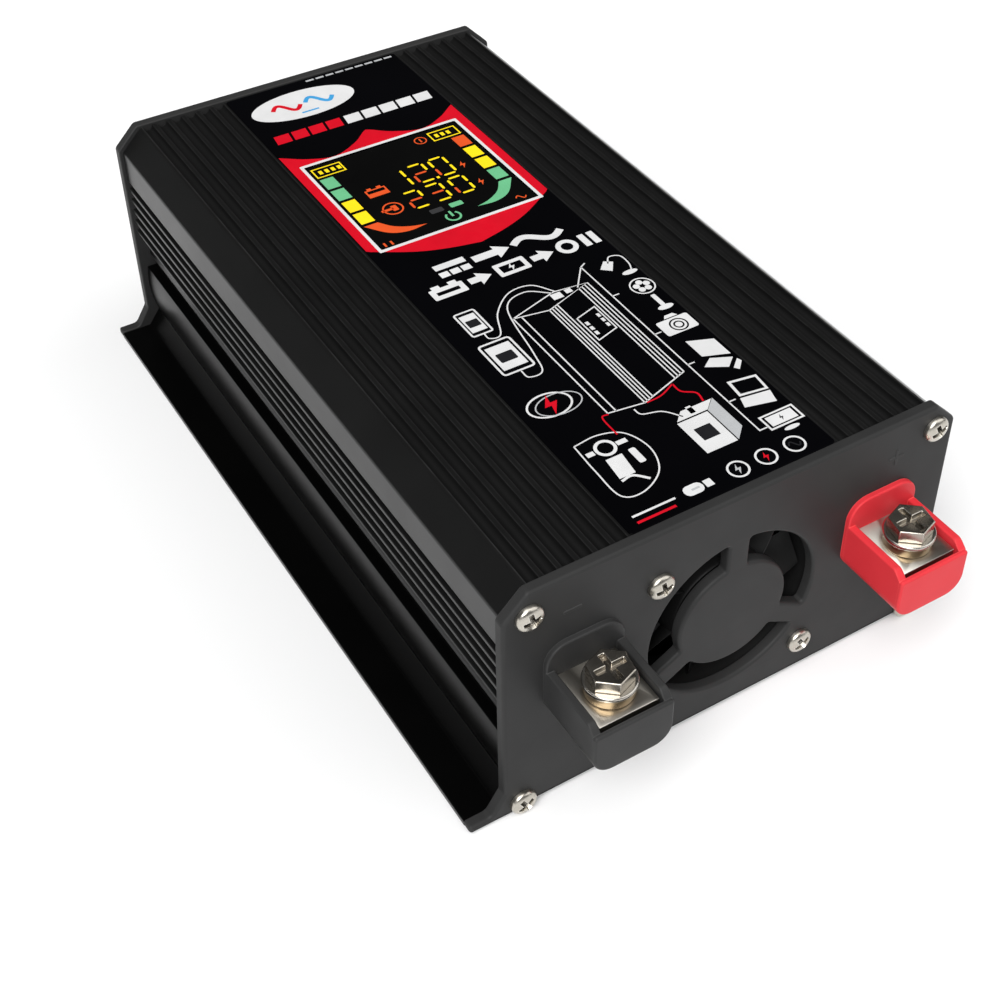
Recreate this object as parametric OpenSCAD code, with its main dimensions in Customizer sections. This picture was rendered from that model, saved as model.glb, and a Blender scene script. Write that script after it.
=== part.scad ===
// Car power inverter: an extruded aluminium case closed by two moulded end panels, with a
// cooling fan and screw terminals in front and the mains socket, USB ports and switch behind.
// X points to the positive terminal, Y to the rear panel and Z up. The origin is the middle of
// the underside of the whole object, on the surface that it stands on.

/* [Case] */
// Length over the outer faces of the two end panels
body_len = 184.5; // [184:0.5:190]
// Thickness of an end panel
panel_t = 2.6; // [2.4:0.1:2.8]
// Width of an end panel above its feet
panel_w = 105; // [105:0.5:106]
// Height of an end panel above the surface
panel_top = 60.2; // [60.2:0.1:61]
// Width over the mounting feet
foot_w = 120.6; // [118:0.2:124]
// Width of the top cover
cover_w = 103.2; // [103:0.1:103.4]
// Height of the flat top of the cover
cover_top = 59.6; // [59.5:0.1:59.8]
// Depth of the fins along each side of the cover
fin_depth = 2.0; // [1.2:0.1:2.4]
// Distance from one side fin to the next
fin_pitch = 3.15; // [3.1:0.05:3.2]
// Distance from one groove on the top of the cover to the next
rib_pitch = 3.77; // [3.7:0.01:3.78]
// Radius of a groove on the top of the cover
rib_r = 1.35; // [1.0:0.05:1.4]

/* [Top] */
// Width of the printed label
label_w = 47.4; // [46:0.2:48]
// Thickness of the printed label
label_t = 0.25; // [0.15:0.05:0.3]
// Width of the display window
window_w = 42; // [38:0.5:42]
// Length of the display window
window_l = 40.4; // [36:0.2:41]
// Distance from the front of the front panel to the middle of the display window
window_from_front = 124.1; // [120:0.1:126]

/* [Fan] */
// Side of the square fan frame
fan_size = 45; // [44:0.5:45]
// Thickness of the fan frame
fan_t = 10; // [10:0.5:11]
// Distance between neighbouring fan screws
fan_hole_spacing = 37; // [36.5:0.1:37.5]
// Height of the fan axle
fan_z = 28; // [27.6:0.1:28.4]
// Radius of the air opening in the front panel
grille_r = 20.3; // [19:0.1:20.5]
// Radius of the disc in the middle of the grille
grille_hub_r = 12.6; // [11:0.1:13]
// Width of a grille spoke
spoke_w = 4.3; // [3:0.1:5]

/* [Terminals] */
// Distance from the middle plane to each terminal
terminal_x = 35.4; // [35:0.1:36]
// How far a terminal housing stands out of the front panel
terminal_depth = 17.3; // [17:0.1:18]
// Width of a terminal housing
terminal_w = 17.2; // [17:0.1:17.6]
// Width of a busbar
busbar_w = 13; // [12.6:0.1:13.2]
// Thickness of a busbar
busbar_t = 1.5; // [1.2:0.1:1.5]
// Distance across the flats of a terminal bolt head
bolt_af = 8; // [7.8:0.1:8.2]

/* [Rear] */
// How far the face of the mains socket stands out of the rear panel
socket_proud = 6; // [5.6:0.1:6.4]
// Tilt of the rocker to each side of its middle
rocker_tilt = 10; // [6:1:10]

/* [Hidden] */
$fn = 48;
gap = 0.05;                                     // air between pieces that only touch
// Places along Y: the two panels and the inside between them
front_y = -(terminal_depth + body_len + socket_proud) / 2 + terminal_depth;
rear_y = front_y + body_len;
inside_front_y = front_y + panel_t;
inside_rear_y = rear_y - panel_t;
case_len = inside_rear_y - inside_front_y;
panel_half = panel_w / 2;
foot_half = foot_w / 2;
cover_half = cover_w / 2;
// Cover: chamfered shoulder, plain band, fins, then a cove down to the joint with the tray
cover_chamfer = 5.4;
cover_ceiling_z = cover_top - 2.7;
band_bottom_z = 46.1;
fin_gap = 2.1;
fin_count = 5;
cove_top_z = 30.8;
cove_foot = [49.4, 23.2];
tongue_outer_x = 46.6;
wall_inner_x = 45.1;
tongue_bottom_z = 17.7;
// Tray: raised floor between two flat feet
tray_floor_z = 3;
foot_inner_x = 47;
foot_t = 1.5;
tray_lip = [50.6, 19.6];
flare_top = [49.6, 5.7];
flare_foot_x = 52.7;
slot_z = 8;                                     // underside of the groove that holds the board
slot_h = 1.7;
// Screws that hold the end panels, as [x, z] on the right-hand side
cover_screw = [47.1, 54.6];
tray_screw = [48.6, 2.9];
screw_r = 1.5;
screw_hole_r = screw_r + gap;
panel_hole_r = 1.7;
pan_head_r = 2.85;
pan_head_h = 1.9;
// Board and what stands on it
board_t = 1.6;
board_top_z = slot_z + gap + board_t;
board_half = 47;
board_front_y = inside_front_y + 15;
board_rear_y = inside_rear_y - 5.3;
// Terminals, from the busbar upwards
busbar_top_z = 36.8;
bolt_y = front_y - 8.9;
housing_bottom_z = 26.2;
housing_side_z = 38.5;
housing_back_z = 44.3;
housing_back_t = 1.2;
housing_front_t = 0.9;
housing_wall = 1.8;
housing_corner_r = 4.2;
nut_h = 4;
spring_washer_h = 2.3;
flat_washer_h = 1.0;
bolt_r = 2.45;
nut_bore_r = bolt_r + gap;
washer_bore_r = bolt_r + 0.3;
bolt_head_h = 2.8;
bolt_shank = 9.6;
bolt_head_z = busbar_top_z + spring_washer_h + flat_washer_h + 3 * gap;
// Fan
fan_front_y = inside_front_y + gap;
fan_rear_y = fan_front_y + fan_t;
fan_bore_r = fan_size / 2 - 1.1;
rotor_r = 12;
blade_tip_r = fan_bore_r - 0.8;
shaft_r = 1;
bearing_r = 2.4;
// Power stage along both sides
heat_bar_x = 45;
heat_bar_t = 3;
heat_bar_top_z = 42;
row_first_y = -36;
row_pitch = 15;
row_count = 6;
row_y = [for (i = [0:row_count - 1]) row_first_y + i * row_pitch];
clamp_y = [for (i = [0.5, 2.5, 4.5]) row_first_y + i * row_pitch];
pad_t = 0.4;
transistor_t = 4.5;
clamp_t = 1.5;
pad_x = heat_bar_x - heat_bar_t - gap;
clamp_x = pad_x - pad_t - transistor_t - 2 * gap;
board_screw_at = [[40.2, board_front_y + 20.5], [40.2, board_rear_y - 6]];
busbar_screw_y = inside_front_y + 22.2;
transformer_at = [for (s = [-1, 1]) [s * 17, board_front_y + 48]];
choke_at = [15, 27, board_top_z + 8.5];
control_y = board_rear_y - 24;
// Rear panel layout, as [x, z]
socket_at = [-22, 30];
switch_at = [35, 31];
usb_at = [[10, 37], [10, 25]];
light_at = [[22.5, 37], [22.5, 25]];
socket_pins = [[-9.5, 0, 0], [9.5, 0, 0], [0, 10.5, 90]];
pin_hole = [7.2, 5.2];
rocker_pivot_y = rear_y - 2;
tab_front_y = inside_rear_y - 22;               // where the socket and switch tabs end
// Display
window_y = front_y + window_from_front;

function bow(p, q, s, n = 8) =                  // from p to q, bulging by s to the right
    let (d = q - p, m = [d[1], -d[0]] / norm(d))
    [for (i = [0:n]) let (t = i / n) p + d * t + m * 4 * s * t * (1 - t)];
function mirrored(p) = [for (i = [len(p) - 1:-1:0]) [-p[i][0], p[i][1]]];
function both_sides(p) = concat(p, mirrored(p));

module along_y(y, len) {                        // stands an X-Z outline along Y
    translate([0, y + len, 0]) rotate([90, 0, 0]) linear_extrude(len) children();
}
module rod_y(x, z, r, y, len) {
    translate([x, y, z]) rotate([-90, 0, 0]) cylinder(r = r, h = len);
}
module box(low, high) {
    translate(low) cube(high - low);
}
module left_and_right() {
    children();
    mirror([1, 0, 0]) children();
}
module at_corner_screws() {
    for (s = [-1, 1], p = [cover_screw, tray_screw]) translate([s * p[0], 0, p[1]]) children();
}
module pan_head_screw(shank) {                  // points along -Z, its head standing on z = 0
    difference() {
        union() {
            rotate_extrude() polygon(concat([[0, 0], [pan_head_r, 0], [pan_head_r, 0.5]],
                bow([pan_head_r - 0.15, 0.9], [0, pan_head_h], 0.28, 5)));
            translate([0, 0, -shank]) cylinder(r = screw_r, h = shank + gap);
        }
        for (a = [0, 90]) rotate(a) translate([-1.7, -0.4, pan_head_h - 1.1]) cube([3.4, 0.8, 2]);
    }
}
function unit(v) = v / norm(v);
module lead(p, r, n = 8) {                      // insulated wire through points of one x
    last = len(p) - 1;
    heading = [for (i = [0:last]) unit(unit(p[min(i + 1, last)] - p[min(i, last - 1)])
        + unit(p[max(i, 1)] - p[max(i - 1, 0)]))];
    rings = [for (i = [0:last], k = [0:n - 1]) p[i] + r * cos(360 * k / n) * [1, 0, 0]
        + r * sin(360 * k / n) * cross(heading[i], [1, 0, 0])];
    sides = [for (i = [0:last - 1], k = [0:n - 1]) let (j = (k + 1) % n)
        [i * n + k, (i + 1) * n + k, (i + 1) * n + j, i * n + j]];
    polyhedron(rings, concat(sides, [[for (k = [0:n - 1]) k],
        [for (k = [n - 1:-1:0]) last * n + k]]));
}

// ---- case ----
module top_cover() {
    fins = [for (i = [0:fin_count - 1], k = [0:3])
        let (z = band_bottom_z - i * fin_pitch - (k < 2 ? 0 : fin_gap))
        [k == 0 || k == 3 ? cover_half : cover_half - fin_depth, z]];
    half = concat(
        [[cover_half - cover_chamfer, cover_top], [cover_half, cover_top - cover_chamfer]],
        fins,
        bow([cover_half, cove_top_z], cove_foot, 0.9),
        [[tongue_outer_x, cove_foot[1]], [tongue_outer_x, tongue_bottom_z],
         [wall_inner_x, tongue_bottom_z], [wall_inner_x, 42.5], [47.4, 45], [47.4, 51.2],
         [43.2, 53.6], [43.2, cover_ceiling_z]]);
    color([0.1, 0.1, 0.11]) difference() {
        along_y(inside_front_y, case_len) polygon(both_sides(half));
        for (s = [-1, 1], i = [0:5])
            rod_y(s * (25.6 + i * rib_pitch), cover_top, rib_r, inside_front_y - 1, case_len + 2);
        for (s = [-1, 1])
            rod_y(s * cover_screw[0], cover_screw[1], screw_hole_r, inside_front_y - 1, case_len + 2);
        translate([-window_w / 2, window_y - window_l / 2, cover_ceiling_z - 1])
            cube([window_w, window_l, 5]);
    }
}
module base_tray() {
    half = concat(
        [[foot_inner_x, 1], [foot_inner_x + 0.6, 0], [foot_half, 0], [foot_half, foot_t],
         [flare_foot_x, foot_t]],
        bow(flare_top, tray_lip, 0.85),
        [[48.1, tray_lip[1]], [48.1, 21.3], [tongue_outer_x + 0.2, 21.3],
         [tongue_outer_x + 0.2, 17.5], [wall_inner_x, 17.5], [wall_inner_x, 16.4],
         [47.2, 14.6], [47.2, slot_z + slot_h + 1], [45.4, slot_z + slot_h + 1],
         [45.4, slot_z + slot_h], [47.2, slot_z + slot_h], [47.2, slot_z], [45, slot_z],
         [45, tray_floor_z]]);
    color([0.1, 0.1, 0.11]) difference() {
        along_y(inside_front_y, case_len) polygon(both_sides(half));
        for (s = [-1, 1])
            rod_y(s * tray_screw[0], tray_screw[1], screw_hole_r, inside_front_y - 1, case_len + 2);
    }
}
module panel_blank(y) {
    foot_top = 1.9;
    half = [[foot_inner_x, 1.2], [foot_inner_x + 0.6, 0.2], [foot_half, 0.2],
        [foot_half, foot_top], [panel_half + 3.1, foot_top], [panel_half, 6.8],
        [panel_half, panel_top - 5.4], [panel_half - 5.4, panel_top]];
    difference() {
        along_y(y, panel_t) polygon(both_sides(half));
        at_corner_screws() rod_y(0, 0, panel_hole_r, y - 1, panel_t + 2);
    }
}
module fan_corners(both = true) {               // the fan has four holes, and screws in two
    h = fan_hole_spacing / 2;
    for (p = both ? [[-h, h], [h, -h], [h, h], [-h, -h]] : [[-h, h], [h, -h]])
        translate([p[0], 0, fan_z + p[1]]) children();
}
module front_panel() {
    color([0.26, 0.26, 0.26]) {
        difference() {
            panel_blank(front_y);
            fan_corners(false) rod_y(0, 0, panel_hole_r, front_y - 1, panel_t + 2);
            difference() {
                rod_y(0, fan_z, grille_r, front_y - 1, panel_t + 2);
                rod_y(0, fan_z, grille_hub_r, front_y - 2, panel_t + 4);
                for (a = [90, 210, 330]) translate([0, front_y - 2, fan_z]) rotate([0, -a, 0])
                    translate([0, 0, -spoke_w / 2]) cube([grille_r + 2, panel_t + 4, spoke_w]);
            }
            for (s = [-1, 1]) box([s * terminal_x - 7.6, front_y - 1, 31.4],
                [s * terminal_x + 7.6, front_y + panel_t + 1, 40.1]);
        }
        // Raised polarity signs beside the upper screws
        for (s = [-1, 1]) box([s * 37.8 - 1.9, front_y - 0.15, 50.8], [s * 37.8 + 1.9, front_y + 0.1, 51.5]);
        box([37.8 - 0.35, front_y - 0.15, 49.25], [37.8 + 0.35, front_y + 0.1, 53.05]);
    }
}
module rear_panel() {
    color([0.26, 0.26, 0.26]) difference() {
        panel_blank(inside_rear_y);
        box([socket_at[0] - 16.7, inside_rear_y - 1, socket_at[1] - 16.7],
            [socket_at[0] + 16.7, rear_y + 1, socket_at[1] + 16.7]);
        box([switch_at[0] - 7.3, inside_rear_y - 1, switch_at[1] - 10],
            [switch_at[0] + 7.3, rear_y + 1, switch_at[1] + 10]);
        for (p = usb_at) box([p[0] - 6.8, inside_rear_y - 1, p[1] - 3.1],
            [p[0] + 6.8, rear_y + 1, p[1] + 3.1]);
        for (p = light_at) rod_y(p[0], p[1], 2.6, inside_rear_y - 1, panel_t + 2);
        for (i = [0:7], z = [7.5, 46.5]) box([5 + i * 5, inside_rear_y - 1, z],
            [8 + i * 5, rear_y + 1, z + 8]);
    }
}
module front_panel_screws() {
    color("silver") at_corner_screws() translate([0, front_y - gap, 0]) rotate([90, 0, 0])
        pan_head_screw(12);
}
module rear_panel_screws() {
    color("silver") at_corner_screws() translate([0, rear_y + gap, 0]) rotate([-90, 0, 0])
        pan_head_screw(12);
}

// ---- top ----
module label() {
    color([0.03, 0.03, 0.04]) difference() {
        box([-label_w / 2, inside_front_y + 0.3, cover_top],
            [label_w / 2, inside_rear_y - 0.3, cover_top + label_t]);
        box([-window_w / 2 + 0.6, window_y - window_l / 2 + 0.6, cover_top - 1],
            [window_w / 2 - 0.6, window_y + window_l / 2 - 0.6, cover_top + 1]);
    }
}
module display_block(w, l, z0, z1) {
    translate([-w / 2, window_y - l / 2, z0]) cube([w, l, z1 - z0]);
}
module display_window() {
    color([0.2, 0.25, 0.3, 0.5])
        display_block(window_w - 0.2, window_l - 0.2, cover_top - 1.2, cover_top - gap);
}
module display_module() {
    color([0.05, 0.05, 0.06]) {
        display_block(window_w - 0.3, window_l - 0.3, cover_top - 4, cover_top - 1.25);
        display_block(window_w + 4, window_l + 4, cover_ceiling_z - 4, cover_ceiling_z - gap);
    }
}
module display_board() {
    color([0.05, 0.35, 0.15])
        display_block(window_w + 6, window_l + 6, cover_ceiling_z - 6, cover_ceiling_z - 4 - gap);
}
module display_ribbon() {
    y = window_y + window_l / 2 - 1;
    color([0.7, 0.7, 0.72]) box([-6, y, board_top_z], [6, y + 0.8, cover_ceiling_z - 6 - gap]);
}

// ---- fan ----
module fan_frame() {
    c = fan_size / 2;
    hub_y = fan_rear_y - 1.6;
    color([0.08, 0.08, 0.08]) {
        difference() {
            along_y(fan_front_y, fan_t) translate([0, fan_z]) difference() {
                square(2 * c, center = true);
                for (a = [0:90:270]) rotate(a) translate([c, c]) rotate(45) square(3.4, center = true);
            }
            rod_y(0, fan_z, fan_bore_r, fan_front_y - 1, fan_t + 2);
            fan_corners() rod_y(0, 0, panel_hole_r, fan_front_y - 1, fan_t + 2);
        }
        difference() {
            union() {
                rod_y(0, fan_z, rotor_r + 0.6, hub_y, 1.6);
                rod_y(0, fan_z, 3.4, hub_y - 5.6, 5.7);
            }
            rod_y(0, fan_z, bearing_r, hub_y - 7, 10);
        }
        for (a = [45:90:315]) translate([0, hub_y, fan_z]) rotate([0, -a, 0])
            translate([rotor_r, 0, -1.5]) cube([fan_bore_r - rotor_r + 0.4, 1.6, 3]);
    }
}
module fan_blade() {                            // a curved strip that runs out along +X
    profile = concat(bow([-3.6, -2.5], [3.6, 2.5], 0.9, 6), bow([3.2, 3.1], [-4, -1.9], -0.9, 6));
    intersection() {
        translate([rotor_r - 1, 0, 0]) rotate([90, 0, 90]) linear_extrude(blade_tip_r) polygon(profile);
        cylinder(r = blade_tip_r, h = 9, center = true);
    }
}
module fan_rotor() {
    color([0.12, 0.12, 0.12]) translate([0, fan_front_y, fan_z]) rotate([-90, 0, 0]) {
        difference() {
            translate([0, 0, 0.8]) cylinder(r = rotor_r, h = 6.6);
            translate([0, 0, 2]) cylinder(r = rotor_r - 1.1, h = 8);
            cylinder(r = shaft_r, h = 4);
        }
        for (i = [0:6]) rotate(i * 360 / 7) translate([0, 0, 4.2]) fan_blade();
    }
}
module fan_magnet() {
    color([0.25, 0.22, 0.2]) difference() {
        rod_y(0, fan_z, rotor_r - 1.1, fan_front_y + 2.1, 5);
        rod_y(0, fan_z, rotor_r - 2.4, fan_front_y + 2, 6);
    }
}
module fan_shaft() {
    color("silver") rod_y(0, fan_z, shaft_r, fan_front_y + 0.9, 7.9);
}
module fan_bearing() {
    color([0.7, 0.5, 0.25]) difference() {
        rod_y(0, fan_z, bearing_r, fan_rear_y - 7.1, 5.4);
        rod_y(0, fan_z, shaft_r + gap, fan_rear_y - 8, 8);
    }
}
module fan_stator() {
    color([0.7, 0.4, 0.2]) difference() {
        rod_y(0, fan_z, rotor_r - 3.2, fan_front_y + 3, 4.4);
        rod_y(0, fan_z, 3.4 + gap, fan_front_y + 2, 8);
        for (a = [0:60:300]) translate([0, 0, fan_z]) rotate([0, a, 0])
            box([6, fan_front_y + 2, -0.9], [12, fan_front_y + 9, 0.9]);
    }
}
module fan_screws() {
    color("silver") fan_corners(false) translate([0, front_y - gap, 0]) rotate([90, 0, 0])
        pan_head_screw(11.5);
}

// ---- terminals ----
module housing(x) {
    w = terminal_w / 2;
    r = housing_corner_r;
    back_r = 4.7;                               // round upper corners of the back plate
    back_h = housing_back_z - housing_side_z;
    front = front_y - terminal_depth;
    translate([x, 0, 0]) {
        difference() {
            union() {
                along_y(front, terminal_depth) union() {   // trough with round lower edges
                    translate([-w, housing_bottom_z + r])
                        square([2 * w, housing_side_z - housing_bottom_z - r]);
                    translate([-w + r, housing_bottom_z]) square([2 * (w - r), r + 1]);
                    for (s = [-1, 1]) translate([s * (w - r), housing_bottom_z + r]) circle(r = r);
                }
                along_y(front_y - housing_back_t, housing_back_t) union() {
                    translate([-w, housing_side_z - 2])
                        square([2 * w, back_h + 2 - back_r]);
                    translate([-w + back_r, housing_side_z]) square([2 * (w - back_r), back_h]);
                    for (s = [-1, 1]) translate([s * (w - back_r), housing_back_z - back_r])
                        circle(r = back_r);
                }
                box([-7.4, front_y - 0.5, 31.6], [7.4, inside_front_y + 2, 39.9]);
                for (s = [-1, 1]) box([s * 8 - 0.7, inside_front_y + gap, 33],
                    [s * 8 + 0.7, inside_front_y + 2, 38.5]);
            }
            box([-w + housing_wall, front + housing_front_t, 28.2],
                [w - housing_wall, front_y - housing_back_t, 50]);
            box([-busbar_w / 2 - gap, front_y - 3, busbar_top_z - busbar_t - gap],
                [busbar_w / 2 + gap, inside_front_y + 5, busbar_top_z + gap]);
            // The side walls slope down to the lower front wall
            translate([0, front, busbar_top_z]) rotate([45, 0, 0]) translate([-w - 1, -3, 0])
                cube([2 * w + 2, 9, 6]);
        }
        // Floor pillar that carries the busbar and holds the nut from turning
        difference() {
            box([-w + housing_wall - gap, bolt_y - 6.6, 28],
                [w - housing_wall + gap, bolt_y + 6.6, busbar_top_z - busbar_t - gap]);
            translate([0, bolt_y, busbar_top_z - busbar_t - nut_h - 2 * gap])
                cylinder(r = (bolt_af + 0.2) / sqrt(3), h = nut_h + 1, $fn = 6);
            translate([0, bolt_y, 28.6]) cylinder(r = 3.2, h = 6);
        }
    }
}
module negative_housing() {
    color([0.27, 0.27, 0.27]) housing(-terminal_x);
}
module positive_housing() {
    color([0.85, 0.12, 0.14]) housing(terminal_x);
}
module busbar(x) {
    drop_y = inside_front_y + 18;
    w = busbar_w / 2;
    translate([x, 0, 0]) difference() {
        union() {
            box([-w, front_y - terminal_depth + housing_front_t + 1, busbar_top_z - busbar_t],
                [w, drop_y, busbar_top_z]);
            box([-w, drop_y - busbar_t, board_top_z + gap], [w, drop_y, busbar_top_z]);
            box([-w, drop_y - busbar_t, board_top_z + gap], [w, drop_y + 9, board_top_z + gap + busbar_t]);
        }
        translate([0, bolt_y, 30]) cylinder(r = washer_bore_r, h = 10);
        translate([0, busbar_screw_y, 5]) cylinder(r = screw_hole_r, h = 10);
    }
}
module negative_busbar() {
    color([0.75, 0.73, 0.7]) busbar(-terminal_x);
}
module positive_busbar() {
    color([0.75, 0.73, 0.7]) busbar(terminal_x);
}
module terminal_nuts() {
    color([0.75, 0.6, 0.3]) left_and_right()
        translate([terminal_x, bolt_y, busbar_top_z - busbar_t - nut_h - gap]) difference() {
            cylinder(r = bolt_af / sqrt(3), h = nut_h, $fn = 6);
            translate([0, 0, -1]) cylinder(r = nut_bore_r, h = nut_h + 2);
        }
}
module ring(x, r, bore, z, h) {
    translate([x, bolt_y, z]) difference() {
        cylinder(r = r, h = h);
        translate([0, 0, -1]) cylinder(r = bore, h = h + 2);
    }
}
module spring_washer(x) {
    z = busbar_top_z + gap;
    difference() {
        ring(x, 4.9, washer_bore_r, z, spring_washer_h);
        // the split in the coil
        translate([x, bolt_y, z]) rotate([35, 0, 140]) box([0, -0.35, -3], [8, 0.35, 6]);
    }
}
module negative_spring_washer() {
    color([0.7, 0.6, 0.4]) spring_washer(-terminal_x);
}
module positive_spring_washer() {
    color([0.7, 0.6, 0.4]) spring_washer(terminal_x);
}
module negative_flat_washer() {
    color("silver") ring(-terminal_x, 5.3, washer_bore_r, bolt_head_z - gap - flat_washer_h, flat_washer_h);
}
module positive_flat_washer() {
    color("silver") ring(terminal_x, 5.3, washer_bore_r, bolt_head_z - gap - flat_washer_h, flat_washer_h);
}
module bolt(x) {
    translate([x, bolt_y, bolt_head_z]) difference() {
        union() {
            intersection() {
                rotate(20) cylinder(r = bolt_af / sqrt(3), h = bolt_head_h, $fn = 6);
                translate([0, 0, -1]) cylinder(r1 = 7.4, r2 = 4, h = bolt_head_h + 1);
            }
            translate([0, 0, -bolt_shank]) cylinder(r = bolt_r, h = bolt_shank + 1);
        }
        for (a = [0, 90]) rotate(a) translate([-3.2, -0.6, bolt_head_h - 1.2]) cube([6.4, 1.2, 3]);
    }
}
module negative_bolt() {
    color("silver") bolt(-terminal_x);
}
module positive_bolt() {
    color("silver") bolt(terminal_x);
}
module busbar_screws() {
    color("silver") left_and_right()
        translate([terminal_x, busbar_screw_y, board_top_z + busbar_t + 2 * gap]) pan_head_screw(5);
}

// ---- board ----
module main_board() {
    color([0.05, 0.3, 0.12]) difference() {
        box([-board_half, board_front_y, slot_z + gap], [board_half, board_rear_y, board_top_z]);
        left_and_right() {
            for (p = board_screw_at) translate([p[0], p[1], 0]) cylinder(r = screw_hole_r, h = 20);
            translate([terminal_x, busbar_screw_y, 0]) cylinder(r = screw_hole_r, h = 20);
        }
    }
}
module board_standoffs() {
    color([0.75, 0.6, 0.3]) left_and_right() for (p = board_screw_at)
        translate([p[0], p[1], tray_floor_z]) difference() {
            cylinder(r = 3, h = slot_z - tray_floor_z);
            translate([0, 0, 0.6]) cylinder(r = screw_hole_r, h = 10);
        }
}
module board_screws() {
    color("silver") left_and_right() for (p = board_screw_at)
        translate([p[0], p[1], board_top_z + gap]) pan_head_screw(5.4);
}
module input_capacitors() {
    color([0.12, 0.15, 0.3]) for (i = [-1.5:1.5])
        translate([i * 14.4, board_front_y + 9, board_top_z]) cylinder(r = 6.5, h = 27);
}
module blade_fuses() {
    color([0.1, 0.5, 0.3]) for (i = [-1:1]) translate([i * 22, board_front_y + 21.5, board_top_z]) {
        box([-9.5, -2.5, 6], [9.5, 2.5, 17]);
        for (s = [-1, 1]) box([s * 7 - 2.6, -0.4, 0], [s * 7 + 2.6, 0.4, 6.5]);
    }
}
module transformer_cores() {                    // rectangular ferrite frame round the winding
    color([0.2, 0.2, 0.22]) for (p = transformer_at) translate([p[0], p[1], board_top_z + 3])
        difference() {
            box([-8, -21, 0], [8, 21, 34]);
            box([-9, -15, 6], [9, -6.5, 28]);
            box([-9, 6.5, 6], [9, 15, 28]);
        }
}
module transformer_windings() {                 // coil on a bobbin, round the middle leg
    color([0.8, 0.6, 0.15]) for (p = transformer_at) translate([p[0], p[1], board_top_z + 3])
        difference() {
            union() {
                box([-15, -14.5, 7.2], [15, 14.5, 26.8]);
                for (z = [6.1, 26.5]) box([-15.5, -14.8, z], [15.5, 14.8, z + 1.3]);
                for (s = [-1, 1]) box([s * 13 - 2.5, -14.5, -3], [s * 13 + 2.5, 14.5, 8]);
            }
            box([-8.1, -6.6, 5], [8.1, 6.6, 30]);
        }
}
module bulk_capacitor() {
    color([0.1, 0.1, 0.12]) translate([-17, 27, board_top_z]) cylinder(r = 12.5, h = 35);
}
module choke_core() {
    color([0.85, 0.8, 0.2]) translate(choke_at) rotate_extrude() translate([10, 0])
        square([6, 9], center = true);
}
module choke_winding() {
    color([0.75, 0.4, 0.2]) translate(choke_at) rotate_extrude(angle = 320) translate([10, 0])
        difference() {
            square([10, 13], center = true);
            square([6.2, 9.2], center = true);
        }
}
module heat_bars() {
    color("silver") left_and_right() difference() {
        box([heat_bar_x - heat_bar_t, row_first_y - 8, board_top_z + gap],
            [heat_bar_x, row_y[row_count - 1] + 8, heat_bar_top_z]);
        for (y = clamp_y) translate([30, y, board_top_z + 12]) rotate([0, 90, 0])
            cylinder(r = screw_hole_r, h = 16);
    }
}
module insulation_pads() {
    color([0.6, 0.6, 0.65]) left_and_right() difference() {
        box([pad_x - pad_t, row_first_y - 7, board_top_z + 4],
            [pad_x, row_y[row_count - 1] + 7, board_top_z + 25]);
        for (y = clamp_y) translate([30, y, board_top_z + 12]) rotate([0, 90, 0])
            cylinder(r = 2, h = 14);
    }
}
module power_transistors() {
    x = pad_x - pad_t - gap;
    color([0.1, 0.1, 0.1]) left_and_right() for (y = row_y) {
        box([x - transistor_t, y - 5, board_top_z + 7], [x, y + 5, board_top_z + 16.2]);
        box([x - 1.3, y - 5, board_top_z + 16], [x, y + 5, board_top_z + 22.6]);
        for (k = [-1:1]) box([x - 2.7, y + k * 2.54 - 0.4, board_top_z], [x - 2.2, y + k * 2.54 + 0.4,
            board_top_z + 7.1]);
    }
}
module clamp_bars() {
    color([0.6, 0.6, 0.62]) left_and_right() difference() {
        box([clamp_x - clamp_t, row_first_y - 6, board_top_z + 9],
            [clamp_x, row_y[row_count - 1] + 6, board_top_z + 15]);
        for (y = clamp_y) translate([30, y, board_top_z + 12]) rotate([0, 90, 0])
            cylinder(r = panel_hole_r, h = 14);
    }
}
module clamp_screws() {
    color("silver") left_and_right() for (y = clamp_y)
        translate([clamp_x - clamp_t - gap, y, board_top_z + 12]) rotate([0, -90, 0])
            pan_head_screw(8.8);
}
module control_board() {
    color([0.05, 0.35, 0.15]) box([-22, control_y, board_top_z], [22, control_y + board_t, 40]);
}
module control_chips() {
    color([0.08, 0.08, 0.09]) for (p = [[-14, 28], [0, 28], [13, 22], [-10, 17]])
        box([p[0] - 4.5, control_y - 2, p[1] - 3], [p[0] + 4.5, control_y, p[1] + 3]);
}
module buzzer() {
    color([0.1, 0.1, 0.1]) translate([-30, 53, board_top_z]) difference() {
        cylinder(r = 6, h = 9.5);
        translate([0, 0, 8]) cylinder(r = 1, h = 3);
    }
}
module film_capacitor() {
    color([0.5, 0.12, 0.1]) box([22.4, 43, board_top_z], [33.4, 67, board_top_z + 20]);
}
module two_leads(x, spacing, r, path) {         // path is a list of [y, z]
    for (k = [-0.5, 0.5]) lead([for (p = path) [x + k * spacing, p[0], p[1]]], r);
}
module control_leads() {
    end_z = board_top_z + 2 * gap;
    fan_y = fan_rear_y + 0.7;
    switch_y = tab_front_y - 2.5;
    usb_y = inside_rear_y - 15.5;
    color([0.7, 0.1, 0.1]) {
        two_leads(23.8, 1.6, 0.7,
            [[fan_y, 22], [fan_y + 0.7, 16], [board_front_y + 1.2, 12], [board_front_y + 1.2, end_z]]);
        two_leads(switch_at[0], 6.4, 1,
            [[tab_front_y - 0.6, switch_at[1] - 4], [switch_y, switch_at[1] - 7], [switch_y, end_z]]);
        two_leads(usb_at[0][0], 4, 0.7, [[usb_y + 1, 17.5], [usb_y, 14], [usb_y, end_z]]);
    }
}

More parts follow.
